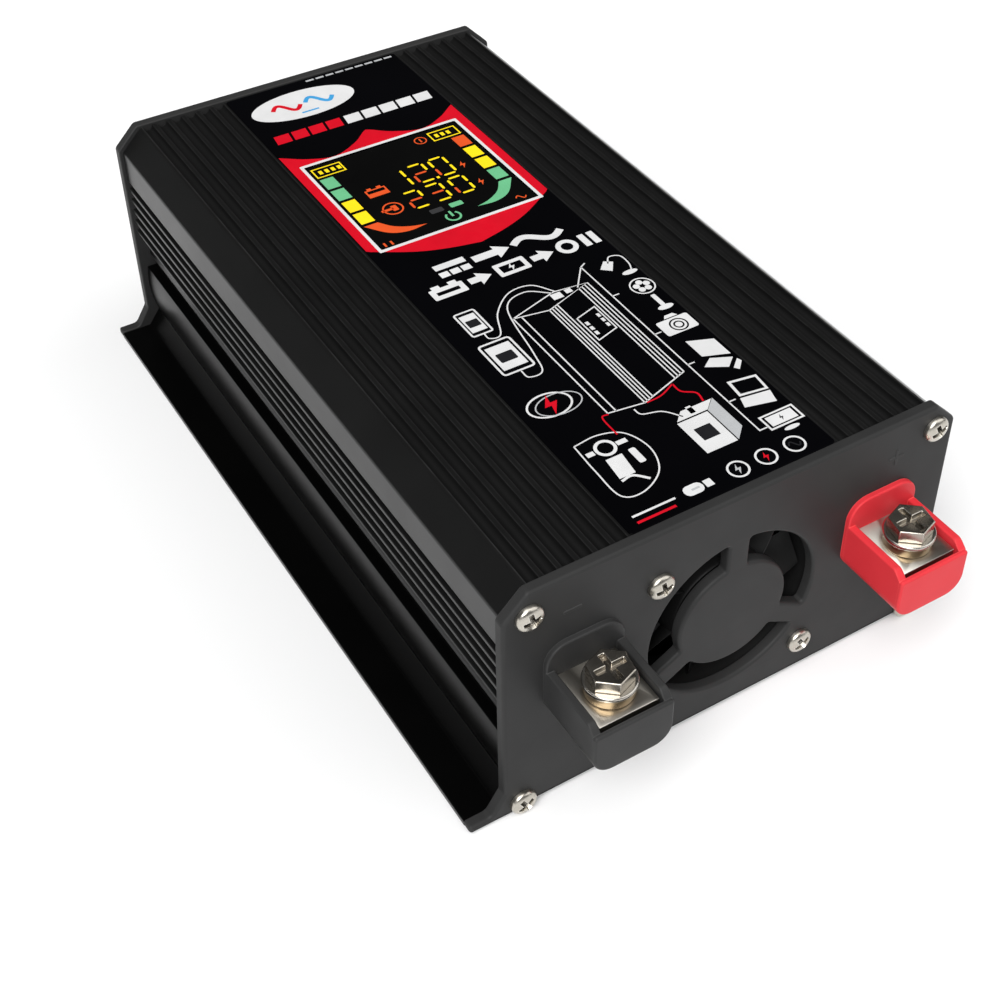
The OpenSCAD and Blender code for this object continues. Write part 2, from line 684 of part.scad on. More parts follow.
// ---- rear ----
module at_socket_pins() {
    translate([socket_at[0], 0, socket_at[1]]) for (p = socket_pins)
        translate([p[0], 0, p[1]]) rotate([0, p[2], 0]) children();
}
module ac_socket() {
    face_y = rear_y + socket_proud;
    back_y = inside_rear_y - 14;
    s = [socket_at[0], 0, socket_at[1]];
    hole = pin_hole / 2;
    color([0.12, 0.12, 0.12]) difference() {
        union() {
            box(s + [-16.5, back_y, -16.5], s + [16.5, rear_y + 1, 16.5]);
            box(s + [-20.5, rear_y + gap, -20.5], s + [20.5, rear_y + 2.2, 20.5]);
            box(s + [-17.5, rear_y + 1, -17.5], s + [17.5, face_y, 17.5]);
        }
        at_socket_pins() {
            box([-hole[0], back_y + 2, -hole[1]], [hole[0], face_y + 1, hole[1]]);
            box([hole[0] - 0.8, back_y - 1, -2.2], [hole[0] - gap, back_y + 4, 2.2]);
        }
    }
}
module socket_contacts() {
    color([0.8, 0.65, 0.3]) at_socket_pins() box([pin_hole[0] / 2 - 0.7, tab_front_y, -2],
        [pin_hole[0] / 2 - 0.1, rear_y + 1, 2]);
}
module socket_leads() {
    r = 1.3;
    y = tab_front_y - 3.4;
    color([0.15, 0.3, 0.7]) for (p = [[-6.3, 0], [12.7, 0], [0, 7.3]]) {
        x = socket_at[0] + p[0];
        z = socket_at[1] + p[1];
        lead([[x, tab_front_y - 0.7, z], [x, y, z - 1.5], [x, y, board_top_z + 2 * gap]], r);
    }
}
module rocker_housing() {
    s = [switch_at[0], 0, switch_at[1]];
    color([0.07, 0.07, 0.07]) difference() {
        union() {
            box(s + [-7.1, inside_rear_y - 13, -9.9], s + [7.1, rear_y + 1, 9.9]);
            box(s + [-8.4, rear_y + gap, -11.4], s + [8.4, rear_y + 2, 11.4]);
        }
        box(s + [-5.9, inside_rear_y - 9, -9.5], s + [5.9, rear_y + 3, 9.5]);
        translate(s + [-8, rocker_pivot_y, 0]) rotate([0, 90, 0]) cylinder(r = 1.25, h = 16);
        for (z = [-4, 4]) box(s + [-2.5, inside_rear_y - 14, z - 0.5], s + [2.5, inside_rear_y - 8, z + 0.5]);
    }
}
module rocker_button() {
    outline = concat([[-3.2, -2.4], [1.6, -8.3]], bow([5, -8.2], [5, 8.2], -1.2, 10),
        [[1.6, 8.3], [-3.2, 2.4]]);
    color([0.75, 0.08, 0.08]) translate([switch_at[0], rocker_pivot_y, switch_at[1]])
        rotate([-rocker_tilt, 0, 0]) {
            rotate([90, 0, 90]) linear_extrude(11.3, center = true) polygon(outline);
            rotate([0, 90, 0]) cylinder(r = 1.2, h = 13.8, center = true);
        }
}
module switch_terminals() {
    color([0.8, 0.65, 0.3]) translate([switch_at[0], 0, switch_at[1]]) for (z = [-4, 4])
        box([-2.4, tab_front_y + gap, z - 0.4], [2.4, inside_rear_y - 8.5, z + 0.4]);
}
module usb_shells() {
    color("silver") for (p = usb_at) translate([p[0], 0, p[1]]) difference() {
        box([-6.6, inside_rear_y - 12, -2.9], [6.6, rear_y + 0.4, 2.9]);
        box([-6.25, inside_rear_y - 11, -2.55], [6.25, rear_y + 2, 2.55]);
    }
}
module usb_tongues() {
    color([0.9, 0.9, 0.9]) for (p = usb_at) box([p[0] - 5.6, inside_rear_y - 10.95, p[1] + 0.2],
        [p[0] + 5.6, rear_y - 1.2, p[1] + 2]);
}
module usb_board() {
    color([0.05, 0.35, 0.15]) box([usb_at[0][0] - 10, inside_rear_y - 13.7, 18],
        [usb_at[0][0] + 16, inside_rear_y - 12 - gap, 44]);
}
module status_lights() {
    colours = [[0.1, 0.8, 0.2], [0.9, 0.1, 0.1]];
    for (i = [0, 1]) color(colours[i]) {
        rod_y(light_at[i][0], light_at[i][1], 2.5, inside_rear_y - 11.9, panel_t + 12.4);
        translate([light_at[i][0], rear_y + 0.5, light_at[i][1]]) sphere(r = 2.5);
    }
}

top_cover();
base_tray();
front_panel();
rear_panel();
front_panel_screws();
rear_panel_screws();
label();
display_window();
display_module();
display_board();
display_ribbon();
fan_frame();
fan_rotor();
fan_magnet();
fan_shaft();
fan_bearing();
fan_stator();
fan_screws();
negative_housing();
positive_housing();
negative_busbar();
positive_busbar();
terminal_nuts();
negative_spring_washer();
positive_spring_washer();
negative_flat_washer();
positive_flat_washer();
negative_bolt();
positive_bolt();
busbar_screws();
main_board();
board_standoffs();
board_screws();
input_capacitors();
blade_fuses();
transformer_cores();
transformer_windings();
bulk_capacitor();
choke_core();
choke_winding();
heat_bars();
insulation_pads();
power_transistors();
clamp_bars();
clamp_screws();
control_board();
control_chips();
buzzer();
film_capacitor();
control_leads();
ac_socket();
socket_contacts();
socket_leads();
rocker_housing();
rocker_button();
switch_terminals();
usb_shells();
usb_tongues();
usb_board();
status_lights();
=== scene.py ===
# %% [markdown]
# # Dressing a car power inverter
# The working model of this inverter is already built: case, panels, fan, terminals, sockets and the
# parts inside, each in its true place. This lesson loads that model as a fixed frame and gives it its
# looks. Where a plain solid is too plain, a finer surface stands in for it; everything else keeps its
# shape and gets a worked-out material.

# %% Load the frame
import math

import bmesh
import bpy
import numpy as np
from mathutils import Matrix, Vector
from mathutils.geometry import tessellate_polygon


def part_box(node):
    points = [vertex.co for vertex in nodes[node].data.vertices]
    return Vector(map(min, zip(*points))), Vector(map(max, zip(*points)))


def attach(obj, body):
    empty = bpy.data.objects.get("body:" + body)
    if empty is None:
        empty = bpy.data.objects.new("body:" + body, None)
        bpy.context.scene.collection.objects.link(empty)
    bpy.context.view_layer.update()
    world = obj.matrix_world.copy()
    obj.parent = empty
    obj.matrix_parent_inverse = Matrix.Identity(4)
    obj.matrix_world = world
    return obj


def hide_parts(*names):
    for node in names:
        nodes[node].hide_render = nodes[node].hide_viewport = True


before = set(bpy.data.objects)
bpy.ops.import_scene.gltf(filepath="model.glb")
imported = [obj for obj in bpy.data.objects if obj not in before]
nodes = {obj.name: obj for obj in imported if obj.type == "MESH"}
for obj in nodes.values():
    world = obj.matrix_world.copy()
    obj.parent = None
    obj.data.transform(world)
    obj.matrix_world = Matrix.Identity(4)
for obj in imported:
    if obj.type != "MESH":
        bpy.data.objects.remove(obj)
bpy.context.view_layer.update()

MM = 0.001                     # lengths below are in millimetres; one millimetre is this in metres


def corners(node):
    """Lowest and highest corner of a node of the frame, in millimetres."""
    low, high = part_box(node)
    return np.array(low) / MM, np.array(high) / MM


# %% [markdown]
# ## The studio
# A black object shows mostly what it reflects. The floor is pale and three broad soft lights stand
# over it, so the upright sides pick up a grey sheen. The room itself is nearly dark, a little darker
# overhead, so that the flat top stays black. Lamps in soft boxes round a curved backdrop would do the
# same, but wide suns and a plain world need no extra mesh. The camera stands in front, to the left
# and above, with a long lens.

# %% Camera
bpy.context.scene.view_settings.view_transform = "Standard"


def place_camera(eye, azimuth, elevation, roll, lens, shift):
    """Looks from eye along the heading azimuth degrees from +Y, elevation degrees down, then rolls."""
    a, e = math.radians(azimuth), math.radians(elevation)
    heading = Vector((math.sin(a) * math.cos(e), math.cos(a) * math.cos(e), -math.sin(e)))
    data = bpy.data.cameras.new("camera")
    data.lens = lens
    data.shift_x, data.shift_y = shift
    data.clip_start, data.clip_end = 0.01, 20
    camera = bpy.data.objects.new("camera", data)
    turn = heading.to_track_quat("-Z", "Y").to_matrix() @ Matrix.Rotation(math.radians(roll), 3, "Z")
    camera.matrix_world = Matrix.Translation(Vector(eye) * MM) @ turn.to_4x4()
    bpy.context.scene.collection.objects.link(camera)
    bpy.context.scene.camera = camera


place_camera(eye=(-149.8, -253.5, 271.4), azimuth=31.41, elevation=39.99, roll=-0.31, lens=59.66,
             shift=(-0.0228, -0.1140))


# %% Floor, world and lights
def lay_floor(half, tone):
    """One square of pale matt floor under the object."""
    mesh = bpy.data.meshes.new("floor")
    mesh.from_pydata([(-half, -half, 0), (half, -half, 0), (half, half, 0), (-half, half, 0)], [],
                     [(0, 1, 2, 3)])
    floor = bpy.data.objects.new("floor", mesh)
    paint = bpy.data.materials.new("floor_paint")
    paint.use_nodes = True
    shader = paint.node_tree.nodes["Principled BSDF"]
    shader.inputs["Base Color"].default_value = (tone, tone, tone, 1)
    shader.inputs["Roughness"].default_value = 0.9
    shader.inputs["Specular IOR Level"].default_value = 0.1
    mesh.materials.append(paint)
    bpy.context.scene.collection.objects.link(floor)


lay_floor(half=6, tone=0.88)


def light_world(horizon, ceiling):
    """A nearly dark room: its faint light fades with height from the horizon to the ceiling."""
    world = bpy.data.worlds.new("studio")
    world.use_nodes = True
    bpy.context.scene.world = world
    tree = world.node_tree
    sky = tree.nodes.new("ShaderNodeTexCoord")
    split = tree.nodes.new("ShaderNodeSeparateXYZ")
    fade = tree.nodes.new("ShaderNodeMapRange")
    fade.interpolation_type = "SMOOTHSTEP"
    fade.inputs["From Min"].default_value, fade.inputs["From Max"].default_value = 0.25, 0.55
    fade.inputs["To Min"].default_value, fade.inputs["To Max"].default_value = horizon, ceiling
    tree.links.new(sky.outputs["Generated"], split.inputs[0])
    tree.links.new(split.outputs["Z"], fade.inputs["Value"])
    tree.links.new(fade.outputs["Result"], tree.nodes["Background"].inputs["Strength"])
    tree.nodes["Background"].inputs["Color"].default_value = (1, 1, 1, 1)


light_world(horizon=0.055, ceiling=0.045)


def soft_sun(name, place, strength, spread):
    """A far soft light that shines from the direction of place, as wide as spread in degrees."""
    data = bpy.data.lights.new(name, "SUN")
    data.energy, data.angle = strength, math.radians(spread)
    light = bpy.data.objects.new(name, data)
    light.matrix_world = (-Vector(place)).to_track_quat("-Z", "Y").to_matrix().to_4x4()
    bpy.context.scene.collection.objects.link(light)


soft_sun("key", (-0.55, -0.50, 0.75), strength=3.0, spread=40)
soft_sun("fill", (0.6, -0.4, 0.7), strength=1.2, spread=60)
soft_sun("top", (-0.2, -0.1, 1.0), strength=1.0, spread=50)
print("studio: camera, floor, world and three soft lights")

# %% [markdown]
# ## Tools for shapes
# Nearly every outer piece is an outline with softened corners that is carried somewhere: along the
# case for an extrusion, over the edge of a moulded plate, or round an axis for a turned part.
# Modelling each by hand would also work, but a formula keeps every edge radius true and lets one tool
# make many pieces.


# %% Outlines
def outline(points, steps=5):
    """Closed outline from corners [x, z, r]: r > 0 rounds a corner with an arc of that radius that
    touches both sides, and r = 0 keeps the point as it is."""
    points = np.asarray(points, float)
    place = []
    for i, (x, z, r) in enumerate(points):
        here = np.array([x, z])
        if r == 0:
            place.append(here[None])
            continue
        before, after = points[i - 1, :2], points[(i + 1) % len(points), :2]
        u = (before - here) / np.linalg.norm(before - here)
        v = (after - here) / np.linalg.norm(after - here)
        half = math.acos(np.clip(u @ v, -1, 1)) / 2
        middle = here + (u + v) / np.linalg.norm(u + v) * r / math.sin(half)
        first, last = here + u * r / math.tan(half) - middle, here + v * r / math.tan(half) - middle
        turn = math.atan2(first[0] * last[1] - first[1] * last[0], first @ last)
        a = np.linspace(0, turn, steps + 1)[:, None]
        place.append(middle + np.cos(a) * first + np.sin(a) * np.array([-first[1], first[0]]))
    return np.concatenate(place)


def bow(p, q, sag, steps=10):
    """Points of a smooth curve from p to q that bulges by sag to the right of the way it runs."""
    p, q = np.asarray(p, float), np.asarray(q, float)
    t = np.linspace(0, 1, steps + 1)[:, None]
    side = np.array([q[1] - p[1], p[0] - q[0]]) / np.linalg.norm(q - p)
    line = p + (q - p) * t + side * 4 * sag * t * (1 - t)
    return np.column_stack([line, np.zeros(len(line))]).tolist()


def arc(x, z, r, start, end, steps=12):
    """Points [x, z] of a circular arc, its angles in degrees."""
    a = np.radians(np.linspace(start, end, steps + 1))
    return np.column_stack([x + r * np.cos(a), z + r * np.sin(a)])


def both_sides(points):
    """The right-hand half of an outline, followed by the same corners on the left."""
    return points + [[-x, z, r] for x, z, r in reversed(points)]


def area(loop):
    """Area inside a loop, positive when it runs counterclockwise."""
    x, z = loop.T
    return (x * np.roll(z, -1) - np.roll(x, -1) * z).sum() / 2


def inset(loop, by):
    """Each point moves by the given distance to the left of the loop's way round, mitred at corners."""
    ahead = np.roll(loop, -1, 0) - loop
    ahead /= np.linalg.norm(ahead, axis=1)[:, None]
    left = np.column_stack([-ahead[:, 1], ahead[:, 0]])
    behind = np.roll(left, 1, 0)
    return loop + by * (left + behind) / (1 + (left * behind).sum(1))[:, None]


# %% Surfaces
def grid_faces(rows, columns, wrap=True):
    """Quads of a grid of points, rows by columns, closed round each row if wrap is set."""
    i = np.arange(rows - 1)[:, None]
    j = np.arange(columns if wrap else columns - 1)[None]
    k = (j + 1) % columns
    quads = np.stack([i * columns + j, i * columns + k, (i + 1) * columns + k, (i + 1) * columns + j], -1)
    return quads.reshape(-1, 4)


def fill(loops):
    """Triangles that fill the first loop and leave the others open, as numbers into all their points,
    wound counterclockwise."""
    flat = np.concatenate(loops)
    triangles = np.array(tessellate_polygon([[Vector((x, z, 0)) for x, z in loop] for loop in loops]))
    a, b, c = flat[triangles[:, 0]], flat[triangles[:, 1]], flat[triangles[:, 2]]
    turn = (b[:, 0] - a[:, 0]) * (c[:, 1] - a[:, 1]) - (b[:, 1] - a[:, 1]) * (c[:, 0] - a[:, 0])
    triangles[turn < 0] = triangles[turn < 0][:, ::-1]
    return triangles[np.abs(turn) > 1e-9]


def join(*parts):
    """Joins (points, faces) shapes into one, moving each one's face numbers on."""
    points, faces, start = [], [], 0
    for p, f in parts:
        points.append(np.asarray(p, float))
        faces += [[int(k) + start for k in face] for face in f]
        start += len(p)
    return np.concatenate(points), faces


def plate(outer, holes=(), low=0.0, high=1.0, edge=0.0, under=0.0, steps=4):
    """A flat plate between the levels low and high, its outline and holes in the other two
    directions. Where its wall meets the top it rounds over with radius edge, and at the bottom with
    radius under: a quarter circle is carried round every loop."""
    loops = [p if (area(p) > 0) == (i == 0) else p[::-1] for i, p in enumerate([outer, *holes])]
    a = np.linspace(0, math.pi / 2, steps + 1)
    levels = [(under * (1 - math.sin(t)), low + under * (1 - math.cos(t))) for t in a] if under \
        else [(0, low)]
    levels += [(edge * (1 - math.cos(t)), high - edge * (1 - math.sin(t))) for t in a] if edge \
        else [(0, high)]
    points, faces, start, low_ring, high_ring = [], [], 0, [], []
    for loop in loops:
        n = len(loop)
        points += [np.column_stack([inset(loop, d), np.full(n, h)]) for d, h in levels]
        faces += (grid_faces(len(levels), n) + start).tolist()
        low_ring.append(np.arange(n) + start)
        high_ring.append(low_ring[-1] + n * (len(levels) - 1))
        start += n * len(levels)
    points = np.concatenate(points)
    for rings, way in ((low_ring, -1), (high_ring, 1)):
        triangles = np.concatenate(rings)[fill([points[k, :2] for k in rings])]
        faces += triangles[:, ::way].tolist()
    return points, faces


def stand_up(shape, y, way=-1):
    """Turns a plate whose outline is in X and Z so that its levels run from y along -Y or +Y."""
    points, faces = shape
    x, z, level = points.T
    return np.column_stack([x, y + way * level, z]), faces


def shift(shape, x=0.0, y=0.0, z=0.0):
    """Moves a shape."""
    return shape[0] + np.array([x, y, z]), shape[1]


def turned(profile, steps=64, way="Z"):
    """A turned part: the closed profile [radius, height] is carried round the axis way."""
    profile = np.asarray(profile, float)
    a = np.linspace(0, 2 * math.pi, steps, endpoint=False)
    x, z = np.outer(np.cos(a), profile[:, 0]), np.outer(np.sin(a), profile[:, 0])
    h = np.broadcast_to(profile[:, 1], x.shape)
    points = np.stack([x, z, h] if way == "Z" else [x, h, z], -1).reshape(-1, 3)
    quads = grid_faces(steps + 1, len(profile)) % len(points)
    return points, quads.tolist()


def extrude(loop, stations):
    """The loop in X and Z is carried along Y through the stations, and closed at both ends."""
    n = len(loop)
    points = np.concatenate([np.column_stack([loop[:, 0], np.full(n, y), loop[:, 1]]) for y in stations])
    faces = grid_faces(len(stations), n).tolist()
    cap = fill([loop])
    return points, faces + cap.tolist() + (cap + n * (len(stations) - 1)).tolist()


# %% From a shape to a piece of the inverter
SHARP = math.radians(35)


def make_piece(name, shape, material, body="root", stands_for=()):
    """Puts a shape in millimetres into the scene: doubles merged, faces outward, smooth except where
    two faces meet at more than the sharp angle, and riding on its body."""
    points, faces = shape
    mesh = bpy.data.meshes.new(name)
    mesh.from_pydata(np.asarray(points) * MM, [], faces)
    work = bmesh.new()
    work.from_mesh(mesh)
    bmesh.ops.remove_doubles(work, verts=work.verts, dist=2e-7)
    bmesh.ops.recalc_face_normals(work, faces=work.faces)
    for face in work.faces:
        face.smooth = True
    for edge in work.edges:
        edge.smooth = edge.calc_face_angle(0) < SHARP
    work.to_mesh(mesh)
    work.free()
    mesh.materials.append(material)
    made = bpy.data.objects.new(name, mesh)
    bpy.context.scene.collection.objects.link(made)
    even = made.modifiers.new("even_shading", "WEIGHTED_NORMAL")
    even.keep_sharp = True
    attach(made, body)
    if stands_for:
        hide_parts(*stands_for)
    print(f"{name}: {len(mesh.polygons)} faces")
    return made

# %% [markdown]
# ## Effects that several finishes share
# Real finishes are never one flat colour: moulded plastic has a fine grain, an extrusion carries
# faint lines along its length, rims are rubbed bright and flat tops hold a little dust. Image
# textures could carry all this, but worked-out patterns in the object's own space need no unwrapping
# and stay sharp at any distance. Each effect is a node group, so every finish can use it with its own
# amounts.


# %% Groups of nodes
def start_group(name, inputs, output):
    """A node group with float inputs {name: default} and one float output. Returns it and its two
    end nodes."""
    group = bpy.data.node_groups.new(name, "ShaderNodeTree")
    for label, value in inputs.items():
        group.interface.new_socket(label, in_out="INPUT",
                                   socket_type="NodeSocketFloat").default_value = value
    group.interface.new_socket(output, in_out="OUTPUT", socket_type="NodeSocketFloat")
    return group, group.nodes.new("NodeGroupInput"), group.nodes.new("NodeGroupOutput")


def math_node(tree, operation, a, b=None):
    """A Math node whose inputs are numbers or sockets. Returns its output."""
    node = tree.nodes.new("ShaderNodeMath")
    node.operation = operation
    for socket, value in zip(node.inputs, (a, b)):
        if isinstance(value, (int, float)):
            socket.default_value = value
        elif value is not None:
            tree.links.new(value, socket)
    return node.outputs[0]


def noise_node(tree, scale, detail=2.0, stretch=None):
    """Noise on the object's own coordinates, stretched by a factor for each axis if given."""
    place = tree.nodes.new("ShaderNodeTexCoord").outputs["Object"]
    if stretch:
        mapping = tree.nodes.new("ShaderNodeMapping")
        mapping.inputs["Scale"].default_value = stretch
        tree.links.new(place, mapping.inputs["Vector"])
        place = mapping.outputs["Vector"]
    noise = tree.nodes.new("ShaderNodeTexNoise")
    noise.inputs["Detail"].default_value = detail
    tree.links.new(place, noise.inputs["Vector"])
    if isinstance(scale, (int, float)):
        noise.inputs["Scale"].default_value = scale
    else:
        tree.links.new(scale, noise.inputs["Scale"])
    return noise.outputs["Fac"]


def range_node(tree, value, low, high, out_low=0.0, out_high=1.0):
    """Maps value from low...high to out_low...out_high, held at the ends."""
    node = tree.nodes.new("ShaderNodeMapRange")
    for socket, number in zip(node.inputs[1:5], (low, high, out_low, out_high)):
        socket.default_value = number
    tree.links.new(value, node.inputs["Value"])
    return node.outputs["Result"]


# %% Mould grain: the fine pebbling that a spark-etched mould or a sprayed coat leaves
grain_group, ends_in, ends_out = start_group("mould_grain", {"Per metre": 2500.0, "Depth": 1e-5},
                                             "Height")
grain = noise_node(grain_group, ends_in.outputs["Per metre"], 3.0)
grain_group.links.new(math_node(grain_group, "MULTIPLY", grain, ends_in.outputs["Depth"]),
                      ends_out.inputs[0])

# %% Drawn lines: the faint lines that an extrusion die leaves along Y
lines_group, ends_in, ends_out = start_group("die_lines", {"Per metre": 1500.0, "Depth": 5e-6}, "Height")
lines = noise_node(lines_group, ends_in.outputs["Per metre"], 2.0, (1.0, 0.004, 1.0))
lines_group.links.new(math_node(lines_group, "MULTIPLY", lines, ends_in.outputs["Depth"]),
                      ends_out.inputs[0])

# %% Rubbed rims: 1 on rims and corners, broken up into patches, and 0 on flats
rim_group, ends_in, ends_out = start_group("rubbed_rims", {"Patchiness": 0.5}, "Mask")
softened = rim_group.nodes.new("ShaderNodeBevel")
softened.samples = 4
softened.inputs["Radius"].default_value = 0.35 * MM
surface = rim_group.nodes.new("ShaderNodeNewGeometry")
likeness = rim_group.nodes.new("ShaderNodeVectorMath")
likeness.operation = "DOT_PRODUCT"
rim_group.links.new(softened.outputs["Normal"], likeness.inputs[0])
rim_group.links.new(surface.outputs["True Normal"], likeness.inputs[1])
rim = range_node(rim_group, likeness.outputs["Value"], 0.985, 0.85)
patches = range_node(rim_group, noise_node(rim_group, 240.0, 3.0), 0.35, 0.62)
worn = math_node(rim_group, "MULTIPLY", patches, ends_in.outputs["Patchiness"])
kept = math_node(rim_group, "SUBTRACT", 1.0, ends_in.outputs["Patchiness"])
rim_group.links.new(math_node(rim_group, "MULTIPLY", rim, math_node(rim_group, "ADD", worn, kept)),
                    ends_out.inputs[0])

# %% Settled dust: lies on what faces up, thicker in clouds
dust_group, ends_in, ends_out = start_group("settled_dust", {"Amount": 0.1}, "Mask")
surface = dust_group.nodes.new("ShaderNodeNewGeometry")
split = dust_group.nodes.new("ShaderNodeSeparateXYZ")
dust_group.links.new(surface.outputs["Normal"], split.inputs[0])
facing_up = range_node(dust_group, split.outputs["Z"], 0.5, 1.0)
clouds = range_node(dust_group, noise_node(dust_group, 45.0, 6.0), 0.4, 0.75)
dust = math_node(dust_group, "MULTIPLY", facing_up, clouds)
dust_group.links.new(math_node(dust_group, "MULTIPLY", dust, ends_in.outputs["Amount"]),
                     ends_out.inputs[0])

# %% Painted recess shade: 1 deep in slots and inner corners of a piece, 0 on its open faces
recess_shade_group, ends_in, ends_out = start_group("painted_recess_shade", {"Amount": 0.8}, "Mask")
# Ambient occlusion finds the slots and corners that shade falls in; the finishes darken them there as
# painted shade.
shelter = recess_shade_group.nodes.new("ShaderNodeAmbientOcclusion")
shelter.samples = 4
shelter.only_local = True
shelter.inputs["Distance"].default_value = 1.0 * MM
deep = range_node(recess_shade_group, shelter.outputs["AO"], 0.85, 0.45)
recess_shade_group.links.new(math_node(recess_shade_group, "MULTIPLY", deep, ends_in.outputs["Amount"]),
                      ends_out.inputs[0])
print("effects:", [g.name for g in bpy.data.node_groups])

# %% [markdown]
# ## The finishes
# One function mixes each finish: two close tones in soft patches, a roughness that wanders between
# two values, fine relief through a bump, then rubbed rims, dust, painted shade in slots, and painted
# shade low on the case, where it turns metallic on its black base and so mirrors less. Building each
# material by hand would give the same nodes; the function keeps what differs in one line.


# %% Mixing a finish
def place_group(tree, group, **values):
    """Places an effect in a material with its own values, underscores standing for spaces."""
    node = tree.nodes.new("ShaderNodeGroup")
    node.node_tree = group
    for label, value in values.items():
        node.inputs[label.replace("_", " ")].default_value = value
    return node.outputs[0]


def mix_colours(tree, mask, a, b):
    """Colour a where mask is 0 and b where it is 1; a may be a socket."""
    node = tree.nodes.new("ShaderNodeMix")
    node.data_type = "RGBA"
    tree.links.new(mask, node.inputs["Factor"])
    for socket, value in ((node.inputs[6], a), (node.inputs[7], b)):
        if isinstance(value, tuple):
            socket.default_value = (*value, 1)
        else:
            tree.links.new(value, socket)
    return node.outputs[2]


def height_node(tree):
    """The height above the surface that the object stands on, in metres."""
    split = tree.nodes.new("ShaderNodeSeparateXYZ")
    tree.links.new(tree.nodes.new("ShaderNodeTexCoord").outputs["Object"], split.inputs[0])
    return split.outputs["Z"]


def finish(name, tones, rough, metallic=0.0, specular=0.5, patch=70.0, grain=None, lines=None,
           rims=None, dust=None, slot_shade=None, painted_shade_below=None, **shader_values):
    """A material: tones are two close colours, rough the ends of the roughness, patch the patches per
    metre, grain and lines are (per metre, depth in mm), rims (patchiness, colour), the amounts of dust
    and of painted shade in slots, and a height in mm with how metallic the finish is below it: on a
    black base, metal mirrors less, so this paints shade low on the piece."""
    material = bpy.data.materials.new(name)
    material.use_nodes = True
    tree = material.node_tree
    shader = tree.nodes["Principled BSDF"]
    patches = range_node(tree, noise_node(tree, patch, 4.0), 0.3, 0.7)
    colour = mix_colours(tree, patches, *tones)
    roughness = range_node(tree, noise_node(tree, patch * 2.3, 5.0), 0.3, 0.7, *rough)
    if rims:
        mask = place_group(tree, rim_group, Patchiness=rims[0])
        colour = mix_colours(tree, mask, colour, rims[1])
    if dust:
        colour = mix_colours(tree, place_group(tree, dust_group, Amount=dust), colour, (0.32, 0.31, 0.29))
    # Painted shade: slots and inner corners of the piece get a darker colour.
    if slot_shade:
        colour = mix_colours(tree, place_group(tree, recess_shade_group, Amount=slot_shade), colour,
                             (0.035, 0.030, 0.026))
    heights = [place_group(tree, group, Per_metre=amounts[0], Depth=amounts[1] * MM)
               for group, amounts in ((grain_group, grain), (lines_group, lines)) if amounts]
    if heights:
        bump = tree.nodes.new("ShaderNodeBump")
        bump.inputs["Distance"].default_value = 1.0
        tree.links.new(heights[0] if len(heights) == 1 else math_node(tree, "ADD", *heights),
                       bump.inputs["Height"])
        tree.links.new(bump.outputs["Normal"], shader.inputs["Normal"])
    tree.links.new(colour, shader.inputs["Base Color"])
    tree.links.new(roughness, shader.inputs["Roughness"])
    shader.inputs["Metallic"].default_value = metallic
    shader.inputs["Specular IOR Level"].default_value = specular
    # Painted shade: below the given height the finish turns metallic, which on a black base mirrors less
    # and looks darker.
    if painted_shade_below:
        top, below = painted_shade_below
        metal = range_node(tree, height_node(tree), (top - 0.5) * MM, top * MM, below, metallic)
        tree.links.new(metal, shader.inputs["Metallic"])
    for label, value in shader_values.items():
        shader.inputs[label.replace("_", " ")].default_value = value
    return material


def grey(value):
    """A grey as light as value."""
    return value, value, value


# %% Case and panel finishes
# Below 31.3 mm the case turns metallic: on its black base this paints shade on the coves and the tray.
case_black = finish("case_black", (grey(0.0050), grey(0.0065)), (0.31, 0.35), specular=0.33, patch=30,
                    grain=(4200, 0.002), lines=(2200, 0.002), rims=(0.6, grey(0.03)), dust=0.006,
                    painted_shade_below=(31.3, 0.85))
panel_plastic = finish("panel_plastic", (grey(0.025), grey(0.029)), (0.44, 0.50), specular=0.12,
                       grain=(3600, 0.008), rims=(0.4, grey(0.06)), dust=0.02)
terminal_black = finish("terminal_black", (grey(0.027), grey(0.032)), (0.38, 0.46), specular=0.12,
                        grain=(3200, 0.006), rims=(0.4, grey(0.07)), dust=0.02)
terminal_red = finish("terminal_red", ((0.60, 0.028, 0.038), (0.66, 0.036, 0.046)), (0.32, 0.40),
                      specular=0.12, grain=(3200, 0.006), rims=(0.4, (0.85, 0.10, 0.10)), dust=0.01)
label_film = finish("label_film", ((0.0010, 0.0010, 0.0014), (0.0014, 0.0014, 0.0020)), (0.26, 0.30),
                    specular=0.06, patch=30, grain=(1500, 0.0008))
lens_black = finish("window_lens_black", (grey(0.0015), grey(0.0022)), (0.10, 0.16), specular=0.2)

# %% Metal finishes
# The screws and the bolts take painted shade in their slots and inner corners.
screw_zinc = finish("screw_zinc", ((0.50, 0.47, 0.41), (0.58, 0.55, 0.49)), (0.26, 0.34), 1.0, patch=200,
                    grain=(5000, 0.002), rims=(0.3, (0.86, 0.84, 0.78)), slot_shade=0.9)
bolt_nickel = finish("bolt_nickel", ((0.34, 0.31, 0.27), (0.42, 0.39, 0.34)), (0.20, 0.28), 1.0,
                     patch=150, grain=(4000, 0.002), rims=(0.2, (0.85, 0.80, 0.72)), slot_shade=0.45)
washer_nickel = finish("washer_nickel", ((0.50, 0.47, 0.42), (0.58, 0.55, 0.50)), (0.20, 0.28), 1.0,
                       patch=150, grain=(4500, 0.002), rims=(0.3, (0.9, 0.88, 0.84)))
spring_steel = finish("spring_steel", ((0.34, 0.26, 0.16), (0.44, 0.34, 0.22)), (0.26, 0.36), 1.0,
                      patch=150, grain=(3500, 0.003), rims=(0.3, (0.8, 0.7, 0.55)))
busbar_nickel = finish("busbar_nickel", ((0.42, 0.39, 0.34), (0.50, 0.47, 0.42)), (0.27, 0.33), 1.0,
                       patch=60, lines=(2500, 0.001), rims=(0.2, (0.8, 0.78, 0.72)))
print("finishes:", len(bpy.data.materials))

